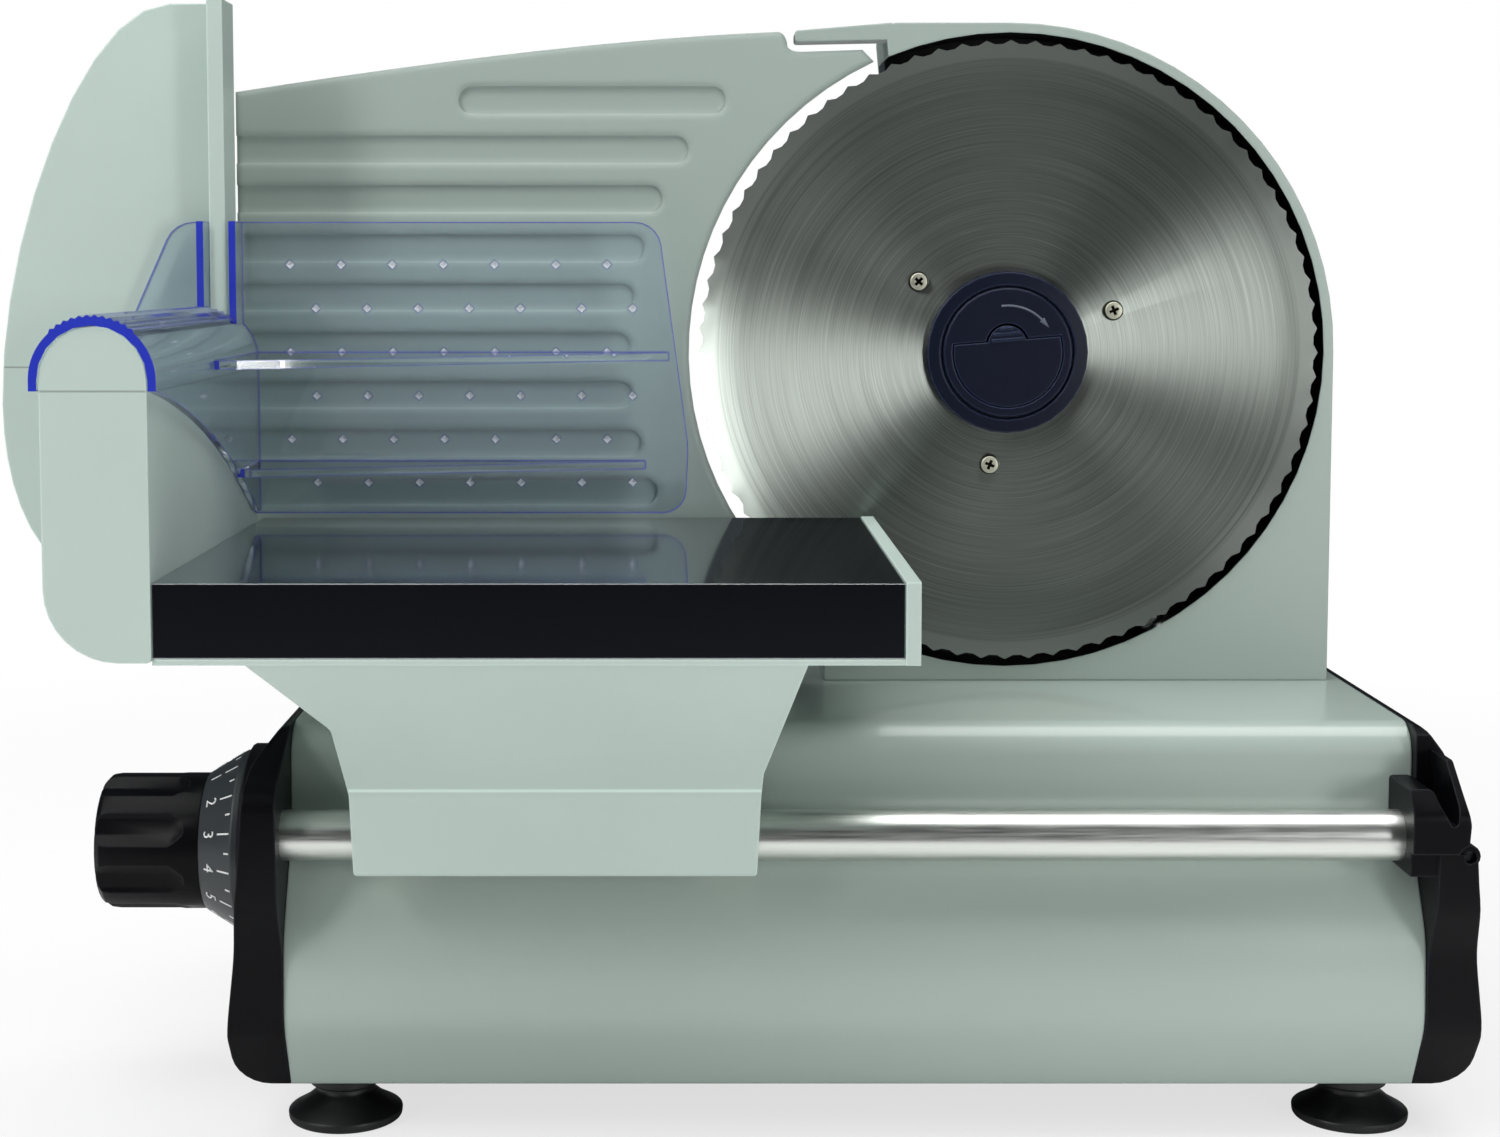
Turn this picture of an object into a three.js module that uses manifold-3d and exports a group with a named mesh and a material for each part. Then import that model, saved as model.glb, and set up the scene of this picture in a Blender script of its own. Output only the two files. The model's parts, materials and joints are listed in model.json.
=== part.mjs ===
// Electric food slicer: housing, blade and worm drive, sliding carriage, food pusher and thickness plate.
// Millimetres. X runs to the right along the carriage travel, Y away from the user, Z up from the table.
// While it is drawn, the blade turns on X = 0, its cutting edge lies on Y = 0 and the table is Z = 0.
import * as THREE from "three";
import { mergeVertices } from "three/addons/utils/BufferGeometryUtils.js";
import Module from "manifold-3d";

const wasm = await Module();
wasm.setup();

// Clearances
const SEAT = 0.1;
const RUN = 0.4;
const PAST = 2;
const FACET_SAG = 0.1;

// Overall sizes, with X measured from the blade's axis
const BLADE_RADIUS = 95;
const BASE_TOP = 115;
const BASE_LEFT = -209.5;
const BASE_RIGHT = 105;

// Blade
const BLADE_LIFT = 7;
const BLADE_Z = BASE_TOP + BLADE_LIFT + BLADE_RADIUS;
const BLADE_SHEET = 1.4;
const BLADE_DISH = 2.5;
const BEVEL_WIDTH = 5.2;
const DISH_SLOPE = 8;
const SCALLOPS = 80;
const SCALLOP_DEPTH = 1.3;
const BLADE_SCREW_CIRCLE = 35;
const BLADE_SCREW_ANGLES = [21.6, 141.6, 261.6];
const SCREW_HEAD_RADIUS = 3.4;
const SCREW_SHANK_RADIUS = 1.9;

// Worm drive
const GEAR_TEETH = 56;
const GEAR_MODULE = 1.5;
const GEAR_WIDTH = 10;
const GEAR_FLANGE = 2.2;
const TOOTH_BACKLASH = 0.5;
const WORM_PITCH_RADIUS = 5.2;
const WORM_TURNS = 4;
const SHAFT_RADIUS = 3;
const SPINDLE_RADIUS = 6;
const BUSH_WALL = 3;

// Blade lock
const COLLAR_RADIUS = 25;
const LOCK_RADIUS = 20;
const LOCK_FACE = -0.4;
const FLAP_RADIUS = 16.7;
const FLAP_CHORD = 3.6;
const FLAP_TILT = 4.7;
const FLAP_SHEET = 1.4;
const TAB_RADIUS = 6;
const TAB_RISE = 4.7;
const TAB_GAP = 0.7;

// Base
const BASE_BOTTOM = 14.5;
const BASE_BACK = 95;
const BASE_FRONT = -70;
const BELLY_FRONT = -88;
const BELLY_TUCK = 11;
const HOUSING_WALL = 2;
const CAP_WALL = 3;
const CAP_TOP_WIDTH = 8.5;
const CAP_FOOT_WIDTH = 16;
const CAP_NOSE = -98;
const FLOOR_SHEET = 2.5;
const FOOT_RADIUS = 16.3;
const FOOT_INSET_X = 13;
const FOOT_FRONT = -62;
const FOOT_BACK = 74;

// Slide rod and its catch
const ROD_RADIUS = 7;
const ROD_Y = -84.5;
const ROD_Z = BASE_TOP - 27.7;
const ROD_SOCKET = 6;
const CATCH_LEFT = 97.5;
const CATCH_TOP = ROD_Z + 14.6;
const CATCH_BACK = -74;
const CATCH_TIP = ROD_Z + 21.8;
const CATCH_PIN_RADIUS = 1.6;
const KNUCKLE_RADIUS = 3.2;

// Blade housing
const GUARD_FACE = 2;
const GUARD_RING = BLADE_RADIUS + 5.4;
const RECESS_RADIUS = BLADE_RADIUS + 2.5;
const RECESS_FLOOR = 18.5;
const UPRIGHT_WALL = 3;
const UPRIGHT_BACK = 40;
const UPRIGHT_LEFT = -56;
const COVER_DEPTH = 7;
const FINGER_REACH = -65.6;
const FINGER_DEPTH = 12;
const FINGER_SHEET = 3.3;

// Thickness plate and its slide
const PLATE_LEFT = BASE_LEFT - 27;
const PLATE_BOTTOM = BASE_TOP + 6;
const PLATE_TOP_RIGHT = BLADE_Z + BLADE_RADIUS + 2.7;
const PLATE_TOP_LEFT = PLATE_TOP_RIGHT - 18.2;
const PLATE_BEND = PLATE_LEFT + 101.5;
const PLATE_SHEET = 3;
const PLATE_SETTING = 3;
const PLATE_GAP = 3;
const CHANNEL_PITCH = 15;
const CHANNEL_WIDTH = 8.5;
const CHANNEL_DEPTH = 1.1;
const CHANNEL_COUNT = 9;
const CHANNEL_END_RADIUS = BLADE_RADIUS + 20.8;
const ARM_LEFT = BASE_LEFT + 59.5;
const ARM_WIDTH = 40;
const ARM_SHEET = 4;
const ARM_TOP = BASE_TOP + 85;
const GUIDE_ROD_RADIUS = 4;
const GUIDE_ROD_Z = BASE_TOP - 48;
const SLIDER_DEPTH = 30;
const SLIDER_HEIGHT = 20;
const SETTING_MAX = 13;

// Thickness dial
const DIAL_Y = -25;
const DIAL_Z = BASE_TOP - 43.8;
const DEGREES_PER_MM = 25;
const GRIP_END = BASE_LEFT - 63;
const GRIP_RADIUS = 20.2;
const GRIP_LENGTH = 31;
const FLUTES = 8;
const FLUTE_RADIUS = 9;
const FLUTE_DEPTH = 2.4;
const DIAL_RADIUS = 27;
const DIAL_LENGTH = 12.6;
const DIAL_SHAFT_RADIUS = 5;
const CAM_RADIUS = 27;
const CAM_SHEET = 8;
const CAM_FIRST_RADIUS = 9;
const FOLLOWER_RADIUS = 2;

// Carriage
const TRAY_LEFT = BASE_LEFT - 18.7;
const TRAY_RIGHT = -45.2;
const TRAY_FRONT = -156;
const TRAY_BACK = -4;
const TRAY_TOP = BASE_TOP + 51.5;
const TRAY_DEEP = 20;
const TRAY_SHEET = 1;
const TRIM_WIDTH = 3.8;
const POST_WIDTH = 26;
const POST_WALL = 2.6;
const RAIL_TOP = TRAY_TOP + 62.2;
const HAND_GUARD_TOP = TRAY_TOP + 154.5;
const HAND_GUARD_LEFT = TRAY_LEFT - 75.8;
const HAND_GUARD_FRONT = -17;
const HAND_GUARD_SHEET = 3;
const HAND_GUARD_RIB = 16;
const BRACKET_LEFT = BASE_LEFT + 19.5;
const BRACKET_RIGHT = -78;
const BRACKET_BOTTOM = ROD_Z - ROD_RADIUS - 1.8;
const BRACKET_FRONT = -99;
const BRACKET_WALL = 3;
const SADDLE_BACK = BASE_FRONT + 42;
const SADDLE_FRONT = TRAY_FRONT + 7;
const BUSH_LENGTH = 16;

// Food pusher
const PUSHER_WALL = 2;
const PUSHER_RIDGES = 12;
const PUSHER_PLATE = -20;
const PUSHER_SHEET = 3;
const PUSHER_TOP = TRAY_TOP + 90;
const PUSHER_BOTTOM = TRAY_TOP + 3.3;
const PUSHER_RIGHT = -98;
const SPIKE_ROWS = 6;
const SPIKES_IN_ROW = 7;
const SPIKE_PITCH_X = 15.2;
const SPIKE_PITCH_Z = 13;

// Switch, motor and cord gland
const MOTOR_RADIUS = 31;
const MOTOR_TOP = BASE_TOP - 17;
const MOTOR_BOTTOM = 28;
const ROTOR_RADIUS = 17;
const SWITCH_X = -40;
const SWITCH_Z = 66;
const SWITCH_WIDTH = 27;
const SWITCH_HEIGHT = 20;
const GLAND_X = 70;
const GLAND_Z = 36;
const GLAND_RADIUS = 7;

// Finishes
const finish = (color, roughness, metalness) =>
  new THREE.MeshStandardMaterial({ color, roughness, metalness });
const GREY_PAINT = () => finish(0xa0afa8, 0.3, 0.1);
const GREY_PLASTIC = () => finish(0xa7bab0, 0.45, 0);
const BLACK_PLASTIC = () => finish(0x17181b, 0.5, 0);
const LOCK_PLASTIC = () => finish(0x181f31, 0.45, 0);
const CLEAR_PLASTIC = () =>
  new THREE.MeshStandardMaterial({
    color: 0xb9c8e6,
    roughness: 0.1,
    metalness: 0,
    transparent: true,
    opacity: 0.4,
  });
const RUBBER = () => finish(0x050706, 0.7, 0);
const STEEL = () => finish(0xc8ccc4, 0.25, 1);
const MIRROR_STEEL = () => finish(0x9a9ea4, 0.08, 1);
const BRONZE = () => finish(0xa97c46, 0.4, 1);
const NYLON = () => finish(0xe6e4da, 0.5, 0);

// A closed geometry as a solid, with its faces turned outwards
function solid(geometry) {
  const bare = geometry.clone();
  bare.deleteAttribute("normal");
  bare.deleteAttribute("uv");
  const merged = mergeVertices(bare, 1e-4);
  const kept = [];
  const index = merged.index.array;
  for (let i = 0; i < index.length; i += 3) {
    const [a, b, c] = index.slice(i, i + 3);
    if (a !== b && b !== c && c !== a) kept.push(a, b, c);
  }
  const make = (triVerts) =>
    new wasm.Manifold(
      new wasm.Mesh({ numProp: 3, vertProperties: merged.attributes.position.array, triVerts }),
    );
  const made = make(new Uint32Array(kept));
  return made.volume() > 0 ? made : make(new Uint32Array(kept.reverse()));
}

// A solid as a geometry with flat faces
function geometryOf(made) {
  const mesh = made.getMesh();
  const geometry = new THREE.BufferGeometry();
  geometry.setAttribute("position", new THREE.BufferAttribute(mesh.vertProperties, 3));
  geometry.setIndex(new THREE.BufferAttribute(mesh.triVerts, 1));
  return geometry;
}

// One named sub-part in a group
function part(group, name, made, material) {
  const mesh = new THREE.Mesh(geometryOf(made), material);
  mesh.name = name;
  group.add(mesh);
  return mesh;
}

const joined = (first, ...rest) => rest.reduce((all, next) => all.add(next), first);
const cut = (first, ...rest) => rest.reduce((all, next) => all.subtract(next), first);

function box([x0, x1], [y0, y1], [z0, z1]) {
  const geometry = new THREE.BoxGeometry(x1 - x0, y1 - y0, z1 - z0);
  return solid(geometry.translate((x0 + x1) / 2, (y0 + y1) / 2, (z0 + z1) / 2));
}

// Outlines are lists of corners [across, up, radius]; each corner is rounded by an arc cut into short
// straight steps, as many as the same corner of another outline if one is given
function outline(corners, alike = corners) {
  const shape = new THREE.Shape();
  corners.forEach(([x, y, radius = 0], i) => {
    const corner = new THREE.Vector2(x, y);
    const before = corners[(i + corners.length - 1) % corners.length];
    const after = corners[(i + 1) % corners.length];
    const back = new THREE.Vector2(before[0] - x, before[1] - y).normalize();
    const ahead = new THREE.Vector2(after[0] - x, after[1] - y).normalize();
    const half = Math.acos(THREE.MathUtils.clamp(back.dot(ahead), -1, 1)) / 2;
    const start = corner.clone().addScaledVector(back, radius / Math.tan(half));
    if (i === 0) shape.moveTo(start.x, start.y);
    else shape.lineTo(start.x, start.y);
    if (!radius) return;
    const middle = back.clone().add(ahead).setLength(radius / Math.sin(half)).add(corner);
    const from = start.clone().sub(middle).angle();
    const sweep = (Math.PI - 2 * half) * (back.cross(ahead) > 0 ? -1 : 1);
    const steps = Math.ceil(Math.abs(sweep) / (2 * Math.acos(1 - FACET_SAG / alike[i][2])));
    for (let k = 1; k <= steps; k++) {
      const angle = from + (sweep * k) / steps;
      shape.lineTo(middle.x + radius * Math.cos(angle), middle.y + radius * Math.sin(angle));
    }
  });
  shape.closePath();
  return shape;
}

// The same outline drawn in by a distance; corners run anticlockwise
function inset(corners, distance) {
  const count = corners.length;
  const normal = (a, b) => new THREE.Vector2(a[1] - b[1], b[0] - a[0]).normalize();
  return corners.map((corner, i) => {
    const before = corners[(i + count - 1) % count];
    const after = corners[(i + 1) % count];
    const n1 = normal(before, corner);
    const n2 = normal(corner, after);
    const turn = n1.cross(n2);
    const shift = n1.clone().add(n2).multiplyScalar(distance / (1 + n1.dot(n2)));
    const radius = (corner[2] ?? 0) - Math.sign(turn) * distance;
    return [corner[0] + shift.x, corner[1] + shift.y, corner[2] ? Math.max(radius, 2 * SEAT) : 0];
  });
}

const circle = (radius, x = 0, y = 0) => new THREE.Shape().absarc(x, y, radius, 0, 2 * Math.PI);

function extruded(shape, depth, curveSegments) {
  return new THREE.ExtrudeGeometry(shape, { depth, bevelEnabled: false, curveSegments });
}

// Extrusions of an outline: across X-Y along Z, across X-Z along Y, across Y-Z along X
const alongZ = (shape, [z0, z1], facets = 4) =>
  solid(extruded(shape, z1 - z0, facets).translate(0, 0, z0));
const alongY = (shape, [y0, y1], facets = 4) =>
  solid(extruded(shape, y1 - y0, facets).rotateX(Math.PI / 2).translate(0, y1, 0));
const TO_X = new THREE.Matrix4().makeBasis(
  new THREE.Vector3(0, 1, 0),
  new THREE.Vector3(0, 0, 1),
  new THREE.Vector3(1, 0, 0),
);
const alongX = (shape, [x0, x1], facets = 4) =>
  solid(extruded(shape, x1 - x0, facets).applyMatrix4(TO_X).translate(x0, 0, 0));

// Round bars and turned pieces; a turned profile is a list of [radius, height]
const barX = (radius, span, y, z, facets = 10) => alongX(circle(radius, y, z), span, facets);
const barY = (radius, span, x, z, facets = 10) => alongY(circle(radius, x, z), span, facets);
const barZ = (radius, span, x, y, facets = 10) => alongZ(circle(radius, x, y), span, facets);
function turned(profile, facets = 24) {
  return new THREE.LatheGeometry(
    profile.map(([radius, height]) => new THREE.Vector2(radius, height)),
    facets,
  );
}
const turnedY = (profile, x, z, facets) => solid(turned(profile, facets).translate(x, 0, z));
const turnedZ = (profile, x, y, facets) =>
  solid(turned(profile, facets).rotateX(Math.PI / 2).translate(x, y, 0));
const turnedX = (profile, y, z, facets) =>
  solid(turned(profile, facets).rotateZ(-Math.PI / 2).translate(0, y, z));
const ringOf = (inner, outer, low, high) => [
  [inner, low],
  [outer, low],
  [outer, high],
  [inner, high],
  [inner, low],
];

// A closed skin over a row of rings of points, with flat ends
function lofted(rings) {
  const count = rings[0].length;
  const positions = rings.flat().flatMap((point) => [point.x, point.y, point.z]);
  const index = [];
  for (let r = 0; r + 1 < rings.length; r++) {
    for (let i = 0; i < count; i++) {
      const a = r * count + i;
      const b = r * count + ((i + 1) % count);
      index.push(a, b, a + count, b, b + count, a + count);
    }
  }
  const last = (rings.length - 1) * count;
  for (let i = 1; i + 1 < count; i++) {
    index.push(0, i + 1, i, last, last + i, last + i + 1);
  }
  const geometry = new THREE.BufferGeometry();
  geometry.setAttribute("position", new THREE.Float32BufferAttribute(positions, 3));
  geometry.setIndex(index);
  return solid(geometry);
}

// A skin from one outline to another with the same corners, along Y
function tapered(front, back, [y0, y1]) {
  const ends = [outline(front), outline(back, front)].map((shape) => shape.extractPoints().shape);
  const positions = ends.flatMap((points, i) => points.flatMap(({ x, y }) => [x, i ? y1 : y0, y]));
  const count = ends[0].length;
  const index = [];
  for (let i = 0; i < count; i++) {
    const next = (i + 1) % count;
    index.push(i, next, i + count, next, next + count, i + count);
  }
  for (const [a, b, c] of THREE.ShapeUtils.triangulateShape(ends[0], [])) index.push(a, c, b);
  for (const [a, b, c] of THREE.ShapeUtils.triangulateShape(ends[1], [])) {
    index.push(a + count, b + count, c + count);
  }
  const geometry = new THREE.BufferGeometry();
  geometry.setAttribute("position", new THREE.Float32BufferAttribute(positions, 3));
  geometry.setIndex(index);
  return solid(geometry);
}

const degrees = THREE.MathUtils.degToRad;

// The groups of the machine: what stands still, and each piece that moves on its own axis
const slicer = new THREE.Group();
const machine = new THREE.Group();
slicer.add(machine);
function movingGroup(parent, x, y, z) {
  const group = new THREE.Group();
  group.position.set(x, y, z);
  parent.add(group);
  return group;
}

// Base housing: one bent shell with a belly at the front and an open bottom
const baseCorners = [
  [BELLY_FRONT + BELLY_TUCK, BASE_BOTTOM],
  [BASE_BACK, BASE_BOTTOM],
  [BASE_BACK, BASE_TOP, 12],
  [BASE_FRONT, BASE_TOP, 9],
  [BASE_FRONT - 1, ROD_Z - 1, 14],
  [BELLY_FRONT + 1, BASE_BOTTOM + 44, 24],
  [BELLY_FRONT, BASE_BOTTOM + 20, 16],
];
const baseInside = inset(baseCorners, HOUSING_WALL);
const floorLevel = BASE_BOTTOM + HOUSING_WALL;
const openBelow = (corners) =>
  corners.map(([y, z, r]) => [y, z < floorLevel + SEAT ? BASE_BOTTOM - PAST : z, r]);

const wormX = (GEAR_TEETH * GEAR_MODULE) / 2 + WORM_PITCH_RADIUS;
const gearFront = BLADE_DISH + BLADE_SHEET + SEAT + GEAR_FLANGE;
const wormY = gearFront + GEAR_WIDTH / 2;
const plateFront = PLATE_SETTING;
const plateBack = plateFront + PLATE_SHEET;
const armFront = plateBack + SEAT;
const armBack = armFront + ARM_SHEET;
const armRight = ARM_LEFT + ARM_WIDTH;
const settingsLeft = SETTING_MAX - PLATE_SETTING;
const switchInside = BASE_BACK - HOUSING_WALL;

const armSlot = box(
  [ARM_LEFT - PAST, armRight + PAST],
  [armFront - PLATE_SETTING - PAST, armBack + settingsLeft + PAST],
  [BASE_TOP - 2 * HOUSING_WALL, BASE_TOP + PAST],
);
const wormHole = barZ(SHAFT_RADIUS + 3, [BASE_TOP - 2 * HOUSING_WALL, BASE_TOP + PAST], wormX, wormY);
const throughBack = [switchInside - PAST, BASE_BACK + PAST];
const switchHole = box(
  [SWITCH_X - SWITCH_WIDTH / 2, SWITCH_X + SWITCH_WIDTH / 2],
  throughBack,
  [SWITCH_Z - SWITCH_HEIGHT / 2, SWITCH_Z + SWITCH_HEIGHT / 2],
);
const glandHole = barY(GLAND_RADIUS, throughBack, GLAND_X, GLAND_Z);
part(
  machine,
  "base_housing",
  cut(
    alongX(outline(baseCorners), [BASE_LEFT, BASE_RIGHT]),
    alongX(outline(openBelow(baseInside)), [BASE_LEFT - PAST, BASE_RIGHT + PAST]),
    armSlot,
    wormHole,
    switchHole,
    glandHole,
  ),
  GREY_PAINT(),
);

// Bottom plate with cooling slots under the motor, and four suction feet on studs
const feet = [];
for (const [side, x] of [
  ["left", BASE_LEFT + FOOT_INSET_X],
  ["right", BASE_RIGHT - FOOT_INSET_X],
]) {
  feet.push([`foot_front_${side}`, x, FOOT_FRONT], [`foot_rear_${side}`, x, FOOT_BACK]);
}
const STUD_RADIUS = 4;
const VENTS = 6;
const VENT_PITCH = 9;
const VENT_WIDTH = 4;
const VENT_LENGTH = 50;
const floorSpan = [BASE_BOTTOM, BASE_BOTTOM + FLOOR_SHEET];
const floorFront = BELLY_FRONT + BELLY_TUCK + 2 * HOUSING_WALL;
const floorBack = BASE_BACK - HOUSING_WALL - SEAT;
const throughFloor = [BASE_BOTTOM - PAST, BASE_BOTTOM + FLOOR_SHEET + PAST];
const ventSpan = [wormY - VENT_LENGTH / 2, wormY + VENT_LENGTH / 2];
const vents = [];
for (let i = 0; i < VENTS; i++) {
  const x = wormX + (i - (VENTS - 1) / 2) * VENT_PITCH;
  vents.push(box([x - VENT_WIDTH / 2, x + VENT_WIDTH / 2], ventSpan, throughFloor));
}
part(
  machine,
  "bottom_plate",
  cut(
    box([BASE_LEFT + SEAT, BASE_RIGHT - SEAT], [floorFront, floorBack], floorSpan),
    ...vents,
    ...feet.map(([, x, y]) => barZ(STUD_RADIUS + SEAT, throughFloor, x, y, 8)),
  ),
  BLACK_PLASTIC(),
);
const STUD_TOP = BASE_BOTTOM + FLOOR_SHEET + 3;
for (const [name, x, y] of feet) {
  const cup = [
    [0, 1.6],
    [FOOT_RADIUS - 4, 1.4],
    [FOOT_RADIUS - 3, 0],
    [FOOT_RADIUS - 0.8, 0],
    [FOOT_RADIUS - 0.2, 0.6],
    [FOOT_RADIUS, 2.6],
    [FOOT_RADIUS * 0.72, 5.2],
    [FOOT_RADIUS * 0.5, 8.2],
    [FOOT_RADIUS * 0.48, 9.6],
    [FOOT_RADIUS * 0.62, 10.4],
    [FOOT_RADIUS * 0.62, BASE_BOTTOM - SEAT],
    [STUD_RADIUS, BASE_BOTTOM - SEAT],
    [STUD_RADIUS, STUD_TOP],
    [0, STUD_TOP],
  ];
  part(machine, name, turnedZ(cup, x, y, 12), RUBBER());
}

// End caps: the base's side outline with a nose that holds the slide rod, flaring towards the foot
const capCorners = [
  [BELLY_FRONT + BELLY_TUCK, BASE_BOTTOM],
  [BASE_BACK, BASE_BOTTOM, 4],
  [BASE_BACK, BASE_TOP, 12],
  [BASE_FRONT, BASE_TOP, 4],
  [CAP_NOSE, BASE_TOP - 14.5, 7],
  [CAP_NOSE + 2, ROD_Z - 18, 14],
  [BELLY_FRONT - 0.5, BASE_BOTTOM + 40, 20],
  [BELLY_FRONT - 0.5, BASE_BOTTOM + 20, 16],
];
const capFlare = (out) => [
  [0, BASE_BOTTOM],
  [out * (CAP_FOOT_WIDTH - 1), BASE_BOTTOM, 10],
  [out * CAP_FOOT_WIDTH, BASE_BOTTOM + 16, 9],
  [out * (CAP_TOP_WIDTH + 2.5), BASE_BOTTOM + 62, 30],
  [out * CAP_TOP_WIDTH, BASE_TOP - 8, 6],
  [out * (CAP_TOP_WIDTH - 6), BASE_TOP, 3],
  [0, BASE_TOP],
];
const wholeDepth = [CAP_NOSE - PAST, BASE_BACK + PAST];
function endCap(inner, out) {
  const at = (distance) => inner + out * distance;
  const span = (a, b) => [Math.min(at(a), at(b)), Math.max(at(a), at(b))];
  const flare = capFlare(out).map(([x, z, r]) => [x + inner, z, r]);
  const whole = alongX(outline(capCorners), span(SEAT, CAP_FOOT_WIDTH)).intersect(
    alongY(outline(out > 0 ? flare : flare.reverse()), wholeDepth),
  );
  const pocket = alongX(
    outline(inset(baseCorners, HOUSING_WALL + CAP_WALL)),
    span(-PAST, CAP_TOP_WIDTH - 6 - CAP_WALL + 2),
  );
  return cut(whole, pocket);
}
const gripInner = GRIP_END + GRIP_LENGTH;
const dialInner = gripInner + DIAL_LENGTH;
const dialBoss = barX(DIAL_RADIUS + 2, [dialInner + RUN, BASE_LEFT - CAP_WALL], DIAL_Y, DIAL_Z, 16);
const throughCap = [BASE_LEFT - 2 * CAP_FOOT_WIDTH, BASE_LEFT + PAST];
const dialBore = barX(DIAL_SHAFT_RADIUS + RUN, throughCap, DIAL_Y, DIAL_Z);
const rodLeft = BASE_LEFT - ROD_SOCKET;
const rodRight = BASE_RIGHT - 1.5;
part(
  machine,
  "left_end_cap",
  cut(
    joined(endCap(BASE_LEFT, -1), dialBoss),
    dialBore,
    barX(ROD_RADIUS + SEAT, [rodLeft - SEAT, BASE_LEFT + PAST], ROD_Y, ROD_Z),
  ),
  BLACK_PLASTIC(),
);

// Slide rod, and the catch that lifts off its right end to free the carriage
const seamZ = ROD_Z - 2.4;
const pinX = BASE_RIGHT + CAP_TOP_WIDTH;
const pinZ = seamZ - 1;
const earSpan = [CAP_NOSE + 3, CATCH_BACK - SEAT];
const knuckleSpan = [CAP_NOSE + 9, CATCH_BACK - 8];
const grooveSpan = [CATCH_LEFT - PAST, rodRight + RUN];
const rodGroove = barX(ROD_RADIUS + SEAT, grooveSpan, ROD_Y, ROD_Z);
const seat = cut(
  box(
    [CATCH_LEFT, BASE_RIGHT + PAST],
    [CAP_NOSE + 2, CATCH_BACK - 2.5],
    [ROD_Z - ROD_RADIUS - 1.8, seamZ],
  ),
  alongX(outline(inset(baseCorners, -SEAT)), [BASE_LEFT, BASE_RIGHT + SEAT]),
);
const knuckleRoom = box(
  [pinX - KNUCKLE_RADIUS - RUN, pinX + 3 * KNUCKLE_RADIUS],
  [knuckleSpan[0] - RUN, knuckleSpan[1] + RUN],
  [pinZ - KNUCKLE_RADIUS - RUN, BASE_TOP],
);
const catchRoom = box(
  [BASE_RIGHT - PAST, BASE_RIGHT + 2 * CAP_FOOT_WIDTH],
  [CAP_NOSE - PAST, CATCH_BACK],
  [seamZ, BASE_TOP + PAST],
);
part(
  machine,
  "right_end_cap",
  cut(
    joined(
      cut(endCap(BASE_RIGHT, 1), catchRoom),
      seat,
      barY(KNUCKLE_RADIUS, earSpan, pinX, pinZ, 8),
    ),
    rodGroove,
    knuckleRoom,
    barY(CATCH_PIN_RADIUS + SEAT, [earSpan[0] - PAST, earSpan[1]], pinX, pinZ, 6),
  ),
  BLACK_PLASTIC(),
);
part(machine, "slide_rod", barX(ROD_RADIUS, [rodLeft, rodRight], ROD_Y, ROD_Z, 12), STEEL());
const pinSpan = [earSpan[0], earSpan[1] - SEAT];
part(machine, "catch_pin", barY(CATCH_PIN_RADIUS, pinSpan, pinX, pinZ, 6), STEEL());

const rodCatch = movingGroup(machine, pinX, 0, pinZ);
const catchBottom = seamZ + SEAT;
const catchBlock = alongY(
  outline([
    [CATCH_LEFT, catchBottom],
    [pinX - 1, catchBottom],
    [pinX - 0.4, CATCH_TOP - 9, 3],
    [pinX - 1.5, CATCH_TOP - 2, 2],
    [pinX - 2.8, CATCH_TIP, 0.8],
    [pinX - 4.6, CATCH_TIP, 0.8],
    [pinX - 3.4, CATCH_TOP - 4, 6],
    [pinX - 4.4, ROD_Z + 3, 1],
    [pinX - 8.6, ROD_Z + 11, 6],
    [pinX - 9.4, CATCH_TOP, 2],
    [CATCH_LEFT, CATCH_TOP, 1],
  ]),
  [CAP_NOSE, CATCH_BACK - RUN],
);
const tabSide = [
  [CATCH_BACK, seamZ - PAST],
  [CATCH_BACK, CATCH_TIP + PAST],
  [CATCH_BACK - 12, CATCH_TIP + PAST, 3],
  [CAP_NOSE + 5, CATCH_TOP, 5],
  [CAP_NOSE, CATCH_TOP - 6.5, 4],
  [CAP_NOSE, seamZ - PAST],
];
const catchShape = cut(
  catchBlock.intersect(alongX(outline(tabSide), [CATCH_LEFT - PAST, BASE_RIGHT + CAP_FOOT_WIDTH])),
  rodGroove,
  box(grooveSpan, [ROD_Y - ROD_RADIUS - SEAT, ROD_Y + ROD_RADIUS + SEAT], [seamZ - PAST, ROD_Z]),
  barY(KNUCKLE_RADIUS + RUN, [CAP_NOSE - PAST, CATCH_BACK], pinX, pinZ, 8),
);
const knuckle = cut(
  joined(
    barY(KNUCKLE_RADIUS, knuckleSpan, pinX, pinZ, 8),
    box([pinX - KNUCKLE_RADIUS, pinX - 0.6], knuckleSpan, [pinZ, catchBottom + 3]),
  ),
  barY(CATCH_PIN_RADIUS + RUN / 2, [CAP_NOSE, CATCH_BACK], pinX, pinZ, 6),
);
const inGroup = (made, group) => {
  const { x, y, z } = group.position;
  return made.translate([-x, -y, -z]);
};
part(rodCatch, "rod_catch", inGroup(joined(catchShape, knuckle), rodCatch), BLACK_PLASTIC());

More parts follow.
